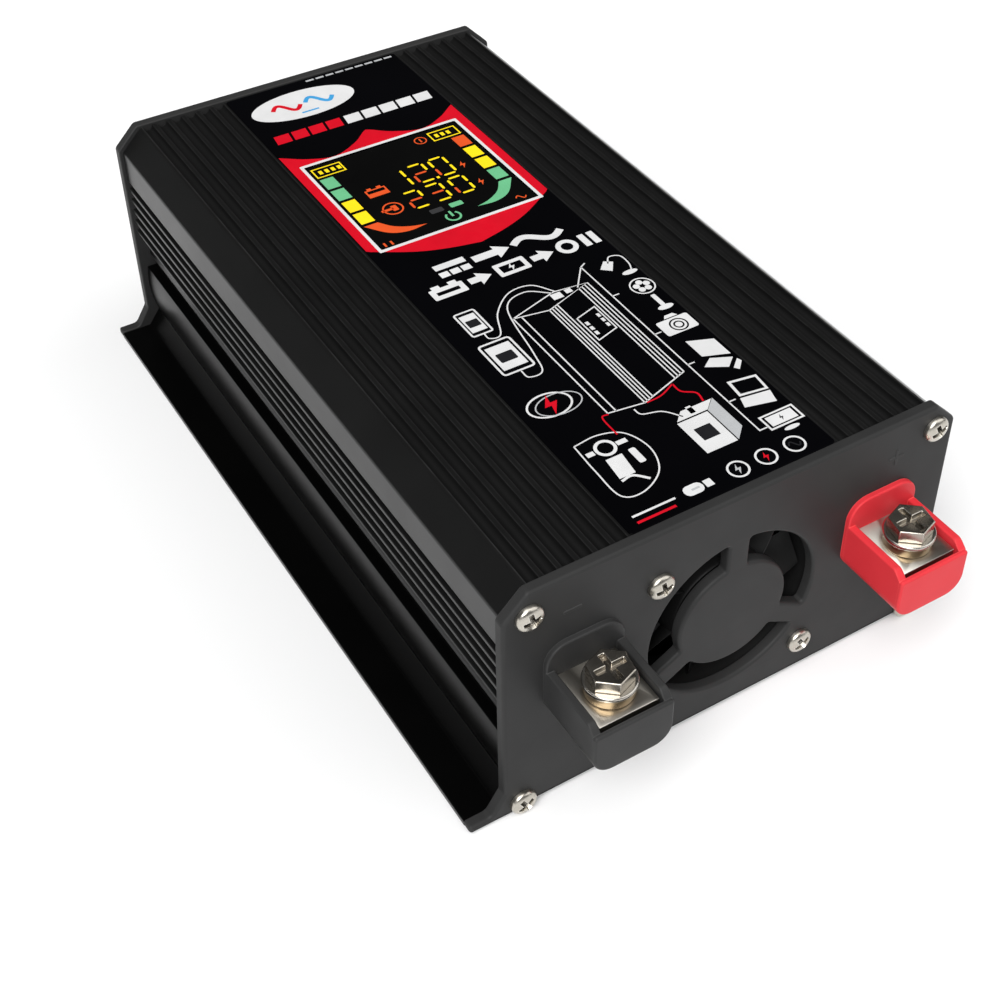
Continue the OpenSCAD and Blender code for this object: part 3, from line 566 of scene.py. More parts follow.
# %% [markdown]
# ## The extruded case
# The top cover and the base tray are cut from aluminium extrusions, so each has one section all along
# its length: chamfered shoulders, five fins a side, grooves on the top, and the sweep down into the
# mounting feet. A lofted or sculpted body could drift; carrying one outline along Y keeps every fin
# straight, and small radii on its corners catch the light the way coated edges do.

# %% Top cover
cover_low, cover_high = corners("top_cover")
cover_half, cover_top = cover_high[0], cover_high[2]
window_low, window_high = corners("display_window")
window_half = window_high[0] + 0.1
ceiling = cover_top - 2.7
shoulder, band_low, cove_high, cove_foot = 5.4, 46.1, 30.8, (49.4, 23.2)
fin_count, fin_pitch, fin_gap, fin_depth = 5, 3.15, 2.1, 2.0
groove_count, first_groove, groove_pitch, groove_r = 6, 25.6, 3.77, 1.35
fins = [[cover_half - (fin_depth if k in (1, 2) else 0),
         band_low - fin_pitch * i - (fin_gap if k > 1 else 0), 0.22]
        for i in range(fin_count) for k in range(4)]
grooves = [[*point, 0] for i in range(groove_count)
           for point in arc(first_groove + groove_pitch * i, cover_top, groove_r, 180, 360, 10)]
cover_section = outline(both_sides(
    [[window_half, cover_top, 0]] + grooves
    + [[cover_half - shoulder, cover_top, 1.2], [cover_half, cover_top - shoulder, 1.2]]
    + fins + [[cover_half, cove_high, 0.25]] + bow((cover_half, cove_high), cove_foot, 0.9)[1:-1]
    + [[*cove_foot, 0.2], [46.6, 23.2, 0.2], [46.6, 17.7, 0.2], [45.1, 17.7, 0.2], [45.1, 42.5, 0],
       [47.4, 45, 0], [47.4, 51.2, 0], [43.2, 53.6, 0], [43.2, ceiling, 0],
       [window_half, ceiling, 0]]), 3)


def cut_window(section, stations):
    """The section is carried along Y, the stretch over the window is left out between the two middle
    stations, and four walls close the cut."""
    n = len(section)
    points, faces = extrude(section, stations)
    x, z = section.T
    over = (np.abs(x) < window_half + 1e-6) & (np.abs(np.roll(x, -1)) < window_half + 1e-6)
    skip = n + np.flatnonzero(over)
    faces = [face for i, face in enumerate(faces) if i not in set(skip.tolist())]
    rim = [int(np.flatnonzero((np.abs(x - s * window_half) < 1e-6) & (np.abs(z - level) < 1e-6))[0])
           for s, level in ((-1, cover_top), (1, cover_top), (1, ceiling), (-1, ceiling))]
    a, b, c, d = rim
    for k in (1, 2):
        faces.append([k * n + a, k * n + b, k * n + c, k * n + d])
    faces += [[n + a, n + d, 2 * n + d, 2 * n + a], [n + b, n + c, 2 * n + c, 2 * n + b]]
    return points, faces


cover_ys = [cover_low[1], window_low[1] - 0.1, window_high[1] + 0.1, cover_high[1]]
make_piece("finned_cover", cut_window(cover_section, cover_ys), case_black, "root", ["top_cover"])

# %% Base tray
tray_section = outline(both_sides(
    [[47, 1, 0.2], [47.6, 0, 0.2], [60.3, 0, 0.3], [60.3, 1.5, 0.35], [52.7, 1.5, 0.6], [49.6, 5.7, 0.8]]
    + bow((49.6, 5.7), (50.6, 19.6), 0.85)[2:-1]
    + [[50.6, 19.6, 0.25], [48.1, 19.6, 0.2], [48.1, 21.3, 0.2], [46.8, 21.3, 0.2], [46.8, 17.5, 0],
       [45.1, 17.5, 0], [45.1, 16.4, 0], [47.2, 14.6, 0], [47.2, 10.7, 0], [45.4, 10.7, 0],
       [45.4, 9.7, 0], [47.2, 9.7, 0], [47.2, 8, 0], [45, 8, 0], [45, 3, 0]]), 4)
make_piece("footed_tray", extrude(tray_section, [cover_low[1], cover_high[1]]), case_black, "root",
           ["base_tray"])

# %% [markdown]
# ## The end panels
# Both ends are injection-moulded plates with a soft edge all round and round every opening, which
# draws a fine bright line in raking light. A bevel modifier on the CAD solid would do for the outside
# but breaks up at the thin spokes; a quarter circle carried round every loop is clean everywhere.

# %% Front panel
front_y, inner_front_y = -86.6, -84.0
rear_y, inner_rear_y = 97.9, 95.3
panel_t = inner_front_y - front_y
edge_r = 0.8
panel_shape = outline(both_sides(
    [[47, 1.2, 0.2], [47.6, 0.2, 0.2], [60.3, 0.2, 0.5], [60.3, 1.9, 0.5], [55.6, 1.9, 1.6],
     [52.5, 6.8, 1.6], [52.5, 54.8, 1.4], [47.1, 60.2, 1.4]]))
upper_screw, lower_screw = (47.1, 54.6), (48.6, 2.9)
corner_places = [(s * x, z) for s in (-1, 1) for x, z in (upper_screw, lower_screw)]
fan_z = 28.0
fan_screw_places = [(-18.5, fan_z + 18.5), (18.5, fan_z - 18.5)]


def round_hole(place, r):
    """A round hole as a loop of points."""
    return arc(*place, r, 0, 345, 23)


def grille_opening(middle, outer_r, inner_r, spoke):
    """One opening of the fan grille: an arc of the air way between two spokes with parallel sides."""
    turn_out = math.degrees(math.asin(spoke / 2 / outer_r))
    turn_in = math.degrees(math.asin(spoke / 2 / inner_r))
    outer = arc(0, fan_z, outer_r, middle - 60 + turn_out, middle + 60 - turn_out, 28)
    inner = arc(0, fan_z, inner_r, middle + 60 - turn_in, middle - 60 + turn_in, 22)
    rows = [[*p, 0.0] for p in outer] + [[*p, 0.0] for p in inner]
    for corner in (0, len(outer) - 1, len(outer), -1):
        rows[corner][2] = 0.7
    return outline(rows, 3)


grille_r, grille_hub_r, spoke_w = 20.3, 12.6, 4.3
grille = [grille_opening(a, grille_r - edge_r / 2, grille_hub_r + edge_r / 2, spoke_w + edge_r)
          for a in (30, 150, 270)]
panel_holes = [round_hole(p, 1.7) for p in corner_places + fan_screw_places] + grille
front_shape = stand_up(plate(panel_shape, panel_holes, 0, panel_t, edge_r, 0.3), inner_front_y)
sign_bar = outline([[-1.9, -0.35, 0.2], [1.9, -0.35, 0.2], [1.9, 0.35, 0.2], [-1.9, 0.35, 0.2]], 3)
sign_plus = outline([[a * x - b * z, b * x + a * z, 0.1] for a, b in ((1, 0), (0, 1), (-1, 0), (0, -1))
                     for x, z in ((0.35, -0.35), (1.9, -0.35), (1.9, 0.35))], 2)
signs = [stand_up(plate(loop + [x, 51.15], (), -0.1, 0.14, 0.08), front_y)
         for x, loop in ((-37.8, sign_bar), (37.8, sign_plus))]
make_piece("moulded_front", join(front_shape, *signs), panel_plastic, "root", ["front_panel"])

# %% Rear panel
def box_hole(x, z, w, h, r):
    """A rectangular hole with round corners, centred on x and z."""
    return outline([[x - w / 2, z - h / 2, r], [x + w / 2, z - h / 2, r], [x + w / 2, z + h / 2, r],
                    [x - w / 2, z + h / 2, r]], 4)


socket_x, socket_z = -22.0, 30.0
rocker_x, rocker_z = 35.0, 31.0
port_places, light_places = [(10, 37), (10, 25)], [(22.5, 37), (22.5, 25)]
rear_holes = [box_hole(socket_x, socket_z, 33.4, 33.4, 1), box_hole(rocker_x, rocker_z, 14.6, 20, 0.5)]
rear_holes += [box_hole(x, z, 13.6, 6.2, 0.5) for x, z in port_places]
rear_holes += [round_hole(p, 2.6) for p in light_places] + [round_hole(p, 1.7) for p in corner_places]
rear_holes += [box_hole(6.5 + 5 * i, z, 3 - edge_r, 8, 1.0) for i in range(8) for z in (11.5, 50.5)]
make_piece("moulded_rear",
           stand_up(plate(panel_shape, rear_holes, 0, panel_t, edge_r / 2, 0.3), inner_rear_y, 1),
           panel_plastic, "root", ["rear_panel"])

# %% [markdown]
# ## Screws with crossed slots
# Six pan heads show in front and four behind. Their domes are low and their cross slots are cut with
# sloping walls, so both must be real shape, not a bump: the highlights break over them. A boolean cut
# leaves messy shading; instead one square grid becomes the head. Inside, its lines follow the slot's
# walls; further out the squares ease into the round rim.


# %% Screw head
def crossed_head(rim, edge_h, top_h, arm, slot, depth, lines=9):
    """A domed head on z = 0. A square grid keeps its place inside the cross and eases into the rim
    radius outside it. Its height is the dome minus the cross, whose floor rises along the arms."""
    inner = arm + 0.05
    wall = 0.07
    half = np.unique(np.concatenate([[0, slot - wall, slot + wall, arm - 0.25, arm],
                                     np.linspace(slot + wall, inner, 4),
                                     np.linspace(inner, 2 * inner, lines)]))
    line = np.concatenate([-half[:0:-1], half])
    x, y = np.meshgrid(line, line)
    q = np.maximum(np.abs(x), np.abs(y))
    r = np.hypot(x, y)
    t = np.clip((q - inner) / inner, 0, 1)
    on_square = np.where(q > inner, inner / np.maximum(q, 1e-9), 1)
    on_rim = rim / np.maximum(r, 1e-9)
    scale = np.where(t > 0, on_square * (1 - t) + on_rim * t, 1)
    x, y = x * scale, y * scale
    r = np.minimum(np.hypot(x, y) / rim, 1)
    z = edge_h + (top_h - edge_h) * np.sqrt(np.maximum(1 - r ** 2.4, 0))
    a, b = np.abs(x), np.abs(y)
    along, across = np.maximum(a, b), np.minimum(a, b)
    inside = np.clip((slot + wall - across) / (2 * wall), 0, 1)
    floor = np.clip((arm - along) / (arm - slot) * 2.6, 0, 1)
    z = z - depth * inside * floor
    n = len(line)
    points = np.column_stack([x.ravel(), y.ravel(), z.ravel()])
    index = np.arange(n * n).reshape(n, n)
    border = np.concatenate([index[0, :-1], index[:-1, -1], index[-1, :0:-1], index[:0:-1, 0]])
    foot = points[border] * np.array([1, 1, 0])
    m = len(border)
    k = np.arange(m)
    skirt = np.stack([border, border[(k + 1) % m], n * n + (k + 1) % m, n * n + k], -1)
    faces = grid_faces(n, n, False).tolist() + skirt.tolist() + [(n * n + k).tolist()]
    return np.concatenate([points, foot]), faces


def spun(shape, degrees):
    """Turns a shape about Z."""
    a = math.radians(degrees)
    turn = np.array([[math.cos(a), -math.sin(a), 0], [math.sin(a), math.cos(a), 0], [0, 0, 1]])
    return shape[0] @ turn.T, shape[1]


def shank(r, length):
    """A plain shank down from z = 0 with a chamfered end."""
    return turned([[0, 0], [r, 0], [r, -length + 0.5], [r - 0.5, -length], [0, -length]], 24)


def facing(shape, y, way):
    """Turns a shape that points along Z to face -Y (way -1) or +Y, its foot at y."""
    p, faces = shape
    return np.column_stack([p[:, 0] * -way, y + way * p[:, 2], p[:, 1]]), faces


def panel_screws(places, y, way, length):
    """One pan head and shank at each place, each cross turned its own way, as drivers leave them."""
    turns = np.random.default_rng(7).uniform(-40, 40, len(places))
    head = crossed_head(rim=2.85, edge_h=0.5, top_h=1.7, arm=1.85, slot=0.45, depth=1.3)
    return join(*[shift(facing(spun(join(head, shank(1.5, length)), turn), y, way), x=x, z=z)
                  for (x, z), turn in zip(places, turns)])


gap = 0.05
make_piece("front_pan_screws", panel_screws(corner_places, front_y - gap, -1, 12), screw_zinc, "root",
           ["front_panel_screws"])
make_piece("rear_pan_screws", panel_screws(corner_places, rear_y + gap, 1, 12), screw_zinc, "root",
           ["rear_panel_screws"])
make_piece("fan_pan_screws", panel_screws(fan_screw_places, front_y - gap, -1, 11.5), screw_zinc, "root",
           ["fan_screws"])

# %% [markdown]
# ## The terminals
# Each battery terminal is a moulded shroud, black for minus and red for plus, round a plated busbar.
# A bolt with a spring washer and a flat washer clamps the cable's ring on it. The shroud is a trough
# whose rim slopes down to a low front wall. Its section is carried along Y with the rim lowered at
# each station; boxes joined by booleans would lose the soft edges that show its colour best.


# %% Shroud
def shroud(x):
    """The trough's section is carried along Y, its rim lowered by a 45 degree slope at the front; a
    round-edged front wall and back plate close it, and a pillar with a nut pocket fills its middle."""
    front, back = front_y - 17.3, front_y
    w, wall, low, floor, rim, front_rim = 8.6, 1.8, 26.2, 28.2, 38.5, 36.8
    loop = outline([[w - wall, rim, 0.45], [w, rim, 0.45], [w, low, 4.2], [-w, low, 4.2], [-w, rim, 0.45],
                    [wall - w, rim, 0.45], [wall - w, floor, 1.6], [w - wall, floor, 1.6]], 6)
    stations = np.array([front + 0.9, front + 1.4, front + 2.1, front + 2.6, front + 3.1, back - 0.8])
    rims = np.array([front_rim, front_rim + 0.5, front_rim + 1.2, rim - 0.15, rim, rim])
    high = np.clip((loop[:, 1] - 33) / (rim - 33), 0, 1)
    n = len(loop)
    points = np.concatenate([np.column_stack([loop[:, 0], np.full(n, y), loop[:, 1] + high * (top - rim)])
                             for y, top in zip(stations, rims)])
    cap = fill([loop])
    trough = points, (grid_faces(len(stations), n).tolist() + cap.tolist()
                      + (cap + n * (len(stations) - 1)).tolist())
    front_face = outline([[w, front_rim, 0.7], [-w, front_rim, 0.7], [-w, low, 4.2], [w, low, 4.2]], 8)
    front_wall = stand_up(plate(front_face, (), 0, 0.9, 0.5), front + 0.9)
    back_face = outline([[w, 44.3, 4.7], [-w, 44.3, 4.7], [-w, low, 4.2], [w, low, 4.2]], 8)
    back_plate = stand_up(plate(back_face, (), 0, 1.2, 0.4), back)
    pocket = arc(0, 0, 8.2 / math.sqrt(3), 0, 300, 5)
    block = outline([[-6.85, -6.6, 0.3], [6.85, -6.6, 0.3], [6.85, 6.6, 0.3], [-6.85, 6.6, 0.3]], 2)
    pillar = shift(plate(block, [pocket], 28.0, 35.15, 0.3), y=bolt_y)
    tongue = stand_up(plate(box_hole(0, 35.75, 14.8, 8.3, 0.4), [box_hole(0, 36.05, 13.1, 1.6, 0.1)],
                            0, 4.5), back + 4.5)
    return shift(join(trough, front_wall, back_plate, pillar, tongue), x=x)


terminal_x, bolt_y = 35.4, -95.5
make_piece("negative_shroud", shroud(-terminal_x), terminal_black, "root", ["negative_housing"])
make_piece("positive_shroud", shroud(terminal_x), terminal_red, "root", ["positive_housing"])


# %% Bolts and washers
def hex_head(across, height, arm, slot, depth, turn):
    """A hexagon head on z = 0: a plate in the shape of the hexagon with a cross-shaped hole, and
    below it a plate that closes the hole at its depth."""
    hexagon = outline([[*p, 0.25] for p in arc(0, 0, across / math.sqrt(3), turn, turn + 300, 5)], 3)
    quarter = [[slot, slot, 0.15], [arm, slot, 0.2], [arm, -slot, 0.2]]
    cross = outline([[a * x - b * z, b * x + a * z, r] for a, b in ((1, 0), (0, -1), (-1, 0), (0, 1))
                     for x, z, r in quarter], 3)
    floor = inset(cross if area(cross) > 0 else cross[::-1], -0.2)
    return join(plate(hexagon, [cross], 0, height, 0.24, 0.2), plate(floor, (), 0.02, height - depth))


def split_ring(inner, outer, height, start, opening):
    """A spring washer: a rounded rectangle is carried round the axis, but for the opening, in degrees,
    its two ends cut on a slant."""
    section = outline([[inner, 0, 0.25], [outer, 0, 0.3], [outer, height, 0.3], [inner, height, 0.25]], 3)
    n, steps = len(section), 72
    a = np.radians(np.linspace(start + opening / 2, start + 360 - opening / 2, steps))[:, None]
    slant = (section[None, :, 1] - height / 2) / outer * 0.7
    x, y = section[:, 0] * np.cos(a + slant), section[:, 0] * np.sin(a + slant)
    z = np.broadcast_to(section[:, 1], x.shape)
    cap = fill([section])
    return np.stack([x, y, z], -1).reshape(-1, 3), (grid_faces(steps, n).tolist() + cap.tolist()
                                                    + (cap + n * (steps - 1)).tolist())


def rounded_ring(inner, outer, height):
    """A flat washer with a soft stamped edge."""
    return turned(outline([[inner, 0, 0.15], [outer, 0, 0.2], [outer, height, 0.35],
                           [inner, height, 0.15]], 4), 72)


for end, side in (("negative", -1), ("positive", 1)):
    at = {"x": side * terminal_x, "y": bolt_y}
    washers, bolt = end + "_washers", end + "_bolt"
    spring = split_ring(inner=2.75, outer=4.9, height=2.3, start=140, opening=8)
    make_piece(end + "_split_washer", shift(spring, z=36.85, **at), spring_steel, washers,
               [end + "_spring_washer"])
    flat = rounded_ring(inner=2.75, outer=5.3, height=1.0)
    make_piece(end + "_plain_washer", shift(flat, z=39.2, **at), washer_nickel, washers,
               [end + "_flat_washer"])
    head = hex_head(across=8.0, height=2.8, arm=3.2, slot=0.6, depth=1.2, turn=20)
    make_piece(end + "_hex_bolt", shift(join(head, shank(2.45, 9.6)), z=40.25, **at), bolt_nickel,
               bolt + "_body", [bolt])

# %% [markdown]
# ## The cooling fan
# Behind the grille turns a moulded seven-bladed rotor. A blade is a thin wing that twists from steep
# at the hub to flat at the tip. Each one is a wing section carried outwards along the radius, turned
# a little at each station, which is how the mould's cavity is cut too.

# %% Rotor
fan_front_y = inner_front_y + gap


def fan_blade(start):
    """A wing section of chord 8.4 mm is carried from the hub to the tip; its pitch falls from 46 to 26
    degrees, and it is bent round the axis so that it stays on its radius."""
    r = np.linspace(11.2, 20.5, 9)[:, None]
    share = (r - r[0]) / (r[-1] - r[0])
    t = np.linspace(0, 2 * math.pi, 20, endpoint=False)[None]
    chord = 4.2 * np.cos(t)
    camber = 0.9 * (1 - (chord / 4.2) ** 2)
    thick = (0.75 - 0.3 * share) * np.sin(t) * np.sqrt(1.02 - np.cos(t) / 2.2)
    pitch = np.radians(46 - 20 * share)
    round_way = chord * np.cos(pitch) - (camber + thick) * np.sin(pitch)
    back = chord * np.sin(pitch) + (camber + thick) * np.cos(pitch)
    back = np.clip(back, -3.8, 3.8)
    a = start + round_way / r + 0.12 * share
    points = np.stack([r * np.cos(a), fan_front_y + 4.3 + back, r * np.sin(a)], -1).reshape(-1, 3)
    n, rows = t.shape[1], len(r)
    ends = [np.arange(n).tolist(), (np.arange(n) + n * (rows - 1)).tolist()]
    return points, grid_faces(rows, n).tolist() + ends


hub = turned([[1.0, 0.8], [11.2, 0.8], [11.7, 1.0], [12.0, 1.5], [12.0, 7.4], [10.9, 7.4], [10.9, 2.0],
              [1.0, 2.0]],
             72, "Y")
fan_plastic = finish("fan_plastic", (grey(0.007), grey(0.010)), (0.45, 0.55), specular=0.2,
                     grain=(3000, 0.006), dust=0.02)
blades = [fan_blade(2 * math.pi * i / 7) for i in range(7)]
rotor = join(shift(hub, y=fan_front_y), *blades)
make_piece("seven_blade_rotor", shift(rotor, z=fan_z), fan_plastic, "fan_rotor_body", ["fan_rotor"])

# %% [markdown]
# ## The label and its print
# The label is one black film along the top with a hole over the display. Its art is screen printed,
# one ink after another, so each ink colour here is one piece: very thin islands on the film. A
# picture texture would be quicker, but drawn shapes stay sharp, and no lettering is needed: plain
# symbols take the places of the words.

# %% Label film and display lens
label_low, label_high = corners("label")
film_z = label_high[2]
white_level, pale_level, detail_level = film_z + 0.014, film_z + 0.018, film_z + 0.032
window_y = 37.5
hole = box_hole(0, window_y, 2 * (window_half - 0.6), 39.2, 0.6)
film = box_hole(0, (label_low[1] + label_high[1]) / 2, label_high[0] - label_low[0],
                label_high[1] - label_low[1], 0.8)
make_piece("label_film", plate(film, [hole], label_low[2], film_z, 0.06), label_film, "root", ["label"])
lens = box_hole(0, window_y, window_high[0] - window_low[0], window_high[1] - window_low[1], 0.4)
make_piece("display_lens", plate(lens, (), window_low[2], window_high[2], 0.15), lens_black, "root",
           ["display_window"])


# %% Drawing in ink
ink_t = 0.014


def ink(name, shapes, material, level):
    """One printed colour: every shape, a loop or a loop with its holes, is a thin plate on a level."""
    plates = [plate(np.asarray(s[0] if isinstance(s, tuple) else s, float),
                    [np.asarray(h, float) for h in s[1]] if isinstance(s, tuple) else (),
                    level, level + ink_t)
              for s in shapes]
    return make_piece(name, join(*plates), material, "root", ())


def stroke(path, width):
    """The outline of a line of some width through the points of a path, mitred where it turns."""
    path = np.asarray(path, float)
    ahead = np.diff(path, axis=0)
    ahead /= np.linalg.norm(ahead, axis=1)[:, None]
    left = np.column_stack([-ahead[:, 1], ahead[:, 0]])
    before, after = np.concatenate([left[:1], left]), np.concatenate([left, left[-1:]])
    mitre = (before + after) / np.maximum(1 + (before * after).sum(1), 0.35)[:, None]
    return np.concatenate([path + mitre * width / 2, (path - mitre * width / 2)[::-1]])


def curve(points, steps=8):
    """A smooth path through points, each stretch a cubic whose slopes come from the neighbours."""
    p = np.asarray(points, float)
    p = np.concatenate([[2 * p[0] - p[1]], p, [2 * p[-1] - p[-2]]])
    t = np.linspace(0, 1, steps, endpoint=False)[None, :, None]
    a, b, c, d = (p[i:len(p) - 3 + i, None] for i in range(4))
    body = 0.5 * (2 * b + (c - a) * t + (2 * a - 5 * b + 4 * c - d) * t ** 2
                  + (3 * b - a - 3 * c + d) * t ** 3)
    return np.concatenate([body.reshape(-1, 2), p[-2:-1]])


def rect(x0, y0, x1, y1, r=0.0):
    """A rectangle, with round corners if r is given."""
    return outline([[x0, y0, r], [x1, y0, r], [x1, y1, r], [x0, y1, r]], 3)


def frame_of(x0, y0, x1, y1, width, r=0.0):
    """A rectangular frame of some width, as a loop with a hole."""
    inner = rect(x0 + width, y0 + width, x1 - width, y1 - width, max(r - width, 0))
    return rect(x0, y0, x1, y1, r), [inner]


def oval(x, y, a, b=None, steps=48):
    """An ellipse with half-axes a and b."""
    t = np.linspace(0, 2 * math.pi, steps, endpoint=False)
    return np.column_stack([x + a * np.cos(t), y + (b or a) * np.sin(t)])


def ring(x, y, a, width, b=None):
    """An elliptical line of some width, as a loop with a hole."""
    return oval(x, y, a, b), [oval(x, y, a - width, (b or a) - width)]


def wave(x, y, length, height, width):
    """One period of a sine wave as a thick line."""
    t = np.linspace(0, 1, 25)
    return stroke(np.column_stack([x + (t - 0.5) * length, y + height * np.sin(2 * math.pi * t)]), width)


def arrow(x, y, length, width, head):
    """A fat arrow to the right, centred on x and y."""
    a, b, w, h = x - length / 2, x + length / 2, width / 2, head / 2
    return [[a, y - w], [b - head * 0.7, y - w], [b - head * 0.7, y - h], [b, y], [b - head * 0.7, y + h],
            [b - head * 0.7, y + w], [a, y + w]]


def bolt_sign(x, y, size):
    """A small lightning bolt."""
    return np.array([[0.15, 1], [-0.55, -0.1], [-0.05, -0.1], [-0.25, -1], [0.55, 0.2],
                     [0.02, 0.2]]) * size + [x, y]


def slanted(x0, y0, x1, y1):
    """A bar that leans to the right."""
    lean = 0.5
    return [[x0, y0], [x1, y0], [x1 + lean, y1], [x0 + lean, y1]]


# %% Inks
def ink_finish(name, colour, strength=0.0):
    """A matt printing ink, or a lit segment where strength is above 0."""
    worn = tuple(c * 0.9 for c in colour)
    material = finish(name, (worn, colour), (0.40, 0.5), specular=0.3, patch=160)
    if strength:
        shader = material.node_tree.nodes["Principled BSDF"]
        shader.inputs["Emission Color"].default_value = (*colour, 1)
        shader.inputs["Emission Strength"].default_value = strength
    return material


white_ink = ink_finish("white_ink", (0.70, 0.70, 0.70))
pale_ink = ink_finish("pale_grey_ink", (0.45, 0.46, 0.47))
dark_ink = ink_finish("dark_ink", (0.010, 0.010, 0.012))
red_ink = ink_finish("red_ink", (0.62, 0.002, 0.014))

# %% Red shield round the display, and the blocks and oval above it
shield_top = curve([[1.0, 64.3], [5.2, 60.8], [11.8, 58.1], [18.0, 60.3], [22.6, 63.6]], 5)[:-1]
shield_foot = curve([[22.8, 18.6], [14.5, 13.6], [7.5, 10.9], [0, 9.1]], 5)[:-1]
half_shield = [[0, 64.9], *shield_top.tolist(), [23.55, 64.3], [23.55, 19.3], *shield_foot.tolist()]
shield = np.array(half_shield + [[0, 9.1]] + [[-x, y] for x, y in half_shield[:0:-1]])
block_low, block_high, sign_x, sign_y, ring_row = 69.6, 73.4, -7.35, 84.3, -80.0
red_blocks = [slanted(-21.1 + 4.6 * i, block_low, -17.2 + 4.6 * i, block_high) for i in range(4)]
ink("red_print", [(shield[::-1], [rect(-20.9, 17.2, 20.9, 57.8, 0.3)])] + red_blocks, red_ink, film_z)
white_blocks = [slanted(-2.3 + 4.85 * i, block_low, 1.9 + 4.85 * i, block_high) for i in range(5)]
model_dashes = [rect(-2.1 + 2.8 * i, 93.4, 0.1 + 2.8 * i, 94.1) for i in range(9)]
display_frame = (rect(-21.2, 17.0, 21.2, 58.0, 0.3), [rect(-20.4, 17.9, 20.4, 57.1, 0.3)])

# %% Bold signs in the middle: direct current, arrow, alternating current, battery, converter and outlet
direct_sign = [rect(-14.2, 4.6, -6.6, 6.5)]
direct_sign += [rect(-14.2 + 2.7 * i, 1.7, -12.0 + 2.7 * i, 3.6) for i in range(3)]
bold_row_1 = direct_sign + [arrow(-0.6, 4.1, 9.2, 2.3, 5.0), wave(11.2, 4.1, 12.2, 1.6, 1.75)]
bold_row_2 = [frame_of(-19.3, -4.8, -11.2, -1.0, 1.3, 0.3), rect(-18.3, -1.0, -16.3, 0.0),
              rect(-14.2, -1.0, -12.2, 0.0),
              arrow(-7.2, -2.5, 5.6, 2.0, 4.6), frame_of(-3.1, -4.8, 4.6, -0.1, 1.1, 0.4),
              bolt_sign(0.75, -2.45, 1.5), arrow(8.6, -2.5, 5.6, 2.0, 4.6), ring(15.0, -2.45, 2.6, 1.2),
              rect(18.8, -4.8, 20.4, -0.1, 0.2), rect(21.2, -4.8, 22.8, -0.1, 0.2)]

# %% Line drawing: the inverter, two phones, the appliances it feeds, a car dashboard and the battery
thin = 0.32
body_edges = [(-8.7, -18.5, -53.9), (-6.9, -18.9, -54.2), (-0.7, -20.0, -55.1), (0.1, -19.8, -54.9),
              (0.9, -19.5, -54.6), (1.7, -19.3, -54.3), (8.7, -16.8, -52.1), (9.6, -16.5, -51.9),
              (10.5, -16.3, -51.6), (11.4, -16.0, -51.3)]
body_lines = [[[x, top], [x, foot]] for x, top, foot in body_edges]
body_lines += [[[-8.7, -18.5], [-0.7, -20.0], [11.4, -16.0], [3.4, -15.0], [-8.7, -18.5]],
               [[-8.7, -53.9], [-0.7, -55.1], [11.4, -51.3]]]
little_display = [[2.6, -25.5], [8.0, -23.9], [8.0, -32.3], [2.6, -33.9], [2.6, -25.5]]
cables = [curve([[-16.4, -19.7], [-16.2, -21.6], [-13.6, -21.6], [-10.5, -15.2], [-5.0, -10.4],
                 [0.5, -10.4], [3.8, -14.9]]),
          curve([[-16.2, -33.9], [-15.9, -36.4], [-12.6, -36.2], [-11.0, -30.0], [-8.0, -15.0],
                 [-2.0, -11.8], [3.0, -15.2]])]
rail = [[[8.7, -16.4], [13.3, -10.6], [14.8, -9.8]], [[13.3, -10.6], [13.3, -73.5], [15.1, -73.5]]]
rail += [[[13.3, y], [15.0, y]] for y in (-22.9, -38.4, -50.0, -63.6)]
white_leads = [curve([[-3.7, -55.6], [-3.2, -57.6], [0.6, -59.0], [3.2, -62.4]])]
lamp = [curve([[19.0, -12.6], [20.6, -10.6], [22.9, -11.6], [23.0, -14.8], [22.2, -17.0]])]
drawing = [stroke(path, thin) for path in body_lines + cables + rail + white_leads + lamp]
drawing += [stroke(little_display, thin), rect(2.1, -17.6, 4.6, -15.6), rect(5.6, -17.0, 7.2, -15.6)]
drawing += [rect(3.2, y, 4.0, y + 1.2) for y in (-32.2, -30.4, -28.6)]
drawing += [rect(6.8, y, 7.5, y + 1.2) for y in (-31, -29.2, -27.4)]
phones = [frame_of(-19.1, -19.7, -13.9, -10.9, 0.45, 0.7), rect(-18.3, -18.3, -14.7, -12.2),
          frame_of(-20.1, -33.8, -12.4, -22.7, 0.5, 0.9), rect(-19.1, -32.2, -13.4, -24.2)]
lamp_shade = [[16.4, -13.6], [18.6, -11.4], [20.4, -12.6], [18.4, -15.4]]
lamp_foot = oval(21.4, -17.6, 1.9, 0.75)
desk_x, desk_y, eye = 20.8, -23.2, (19.6, -38.2)
desk_fan = [ring(desk_x, desk_y, 2.9, 0.35),
            *[oval(desk_x + 1.35 * math.cos(a), desk_y + 1.35 * math.sin(a), 0.78)
              for a in np.radians([90, 162, 234, 306, 18])],
            rect(20.2, -31.0, 21.3, -26.9, 0.2), oval(desk_x, -31.8, 1.9, 0.8)]
camera_icon = [(rect(15.4, -40.6, 23.2, -35.6, 0.5), [oval(*eye, 2.1)]), ring(*eye, 1.7, 0.5),
               oval(*eye, 0.8), [[17.9, -35.3], [18.6, -34.3], [20.6, -34.3], [21.3, -35.3]]]
computer = [[[17.3, -43.6], [22.9, -45.9], [22.9, -51.6], [17.3, -49.4]],
            [[15.7, -52.4], [18.3, -50.6], [22.6, -52.7], [20.0, -54.9]],
            [[20.6, -55.6], [23.0, -53.5], [23.4, -54.6], [21.4, -56.6]]]
laptop = [([[16.6, -58.5], [23.1, -59.6], [22.6, -64.4], [16.1, -63.4]],
           [[[17.2, -59.2], [22.5, -60.1], [22.1, -63.8], [16.8, -62.9]]]),
          [[15.9, -63.9], [22.5, -64.9], [21.6, -68.3], [15.0, -66.6]]]
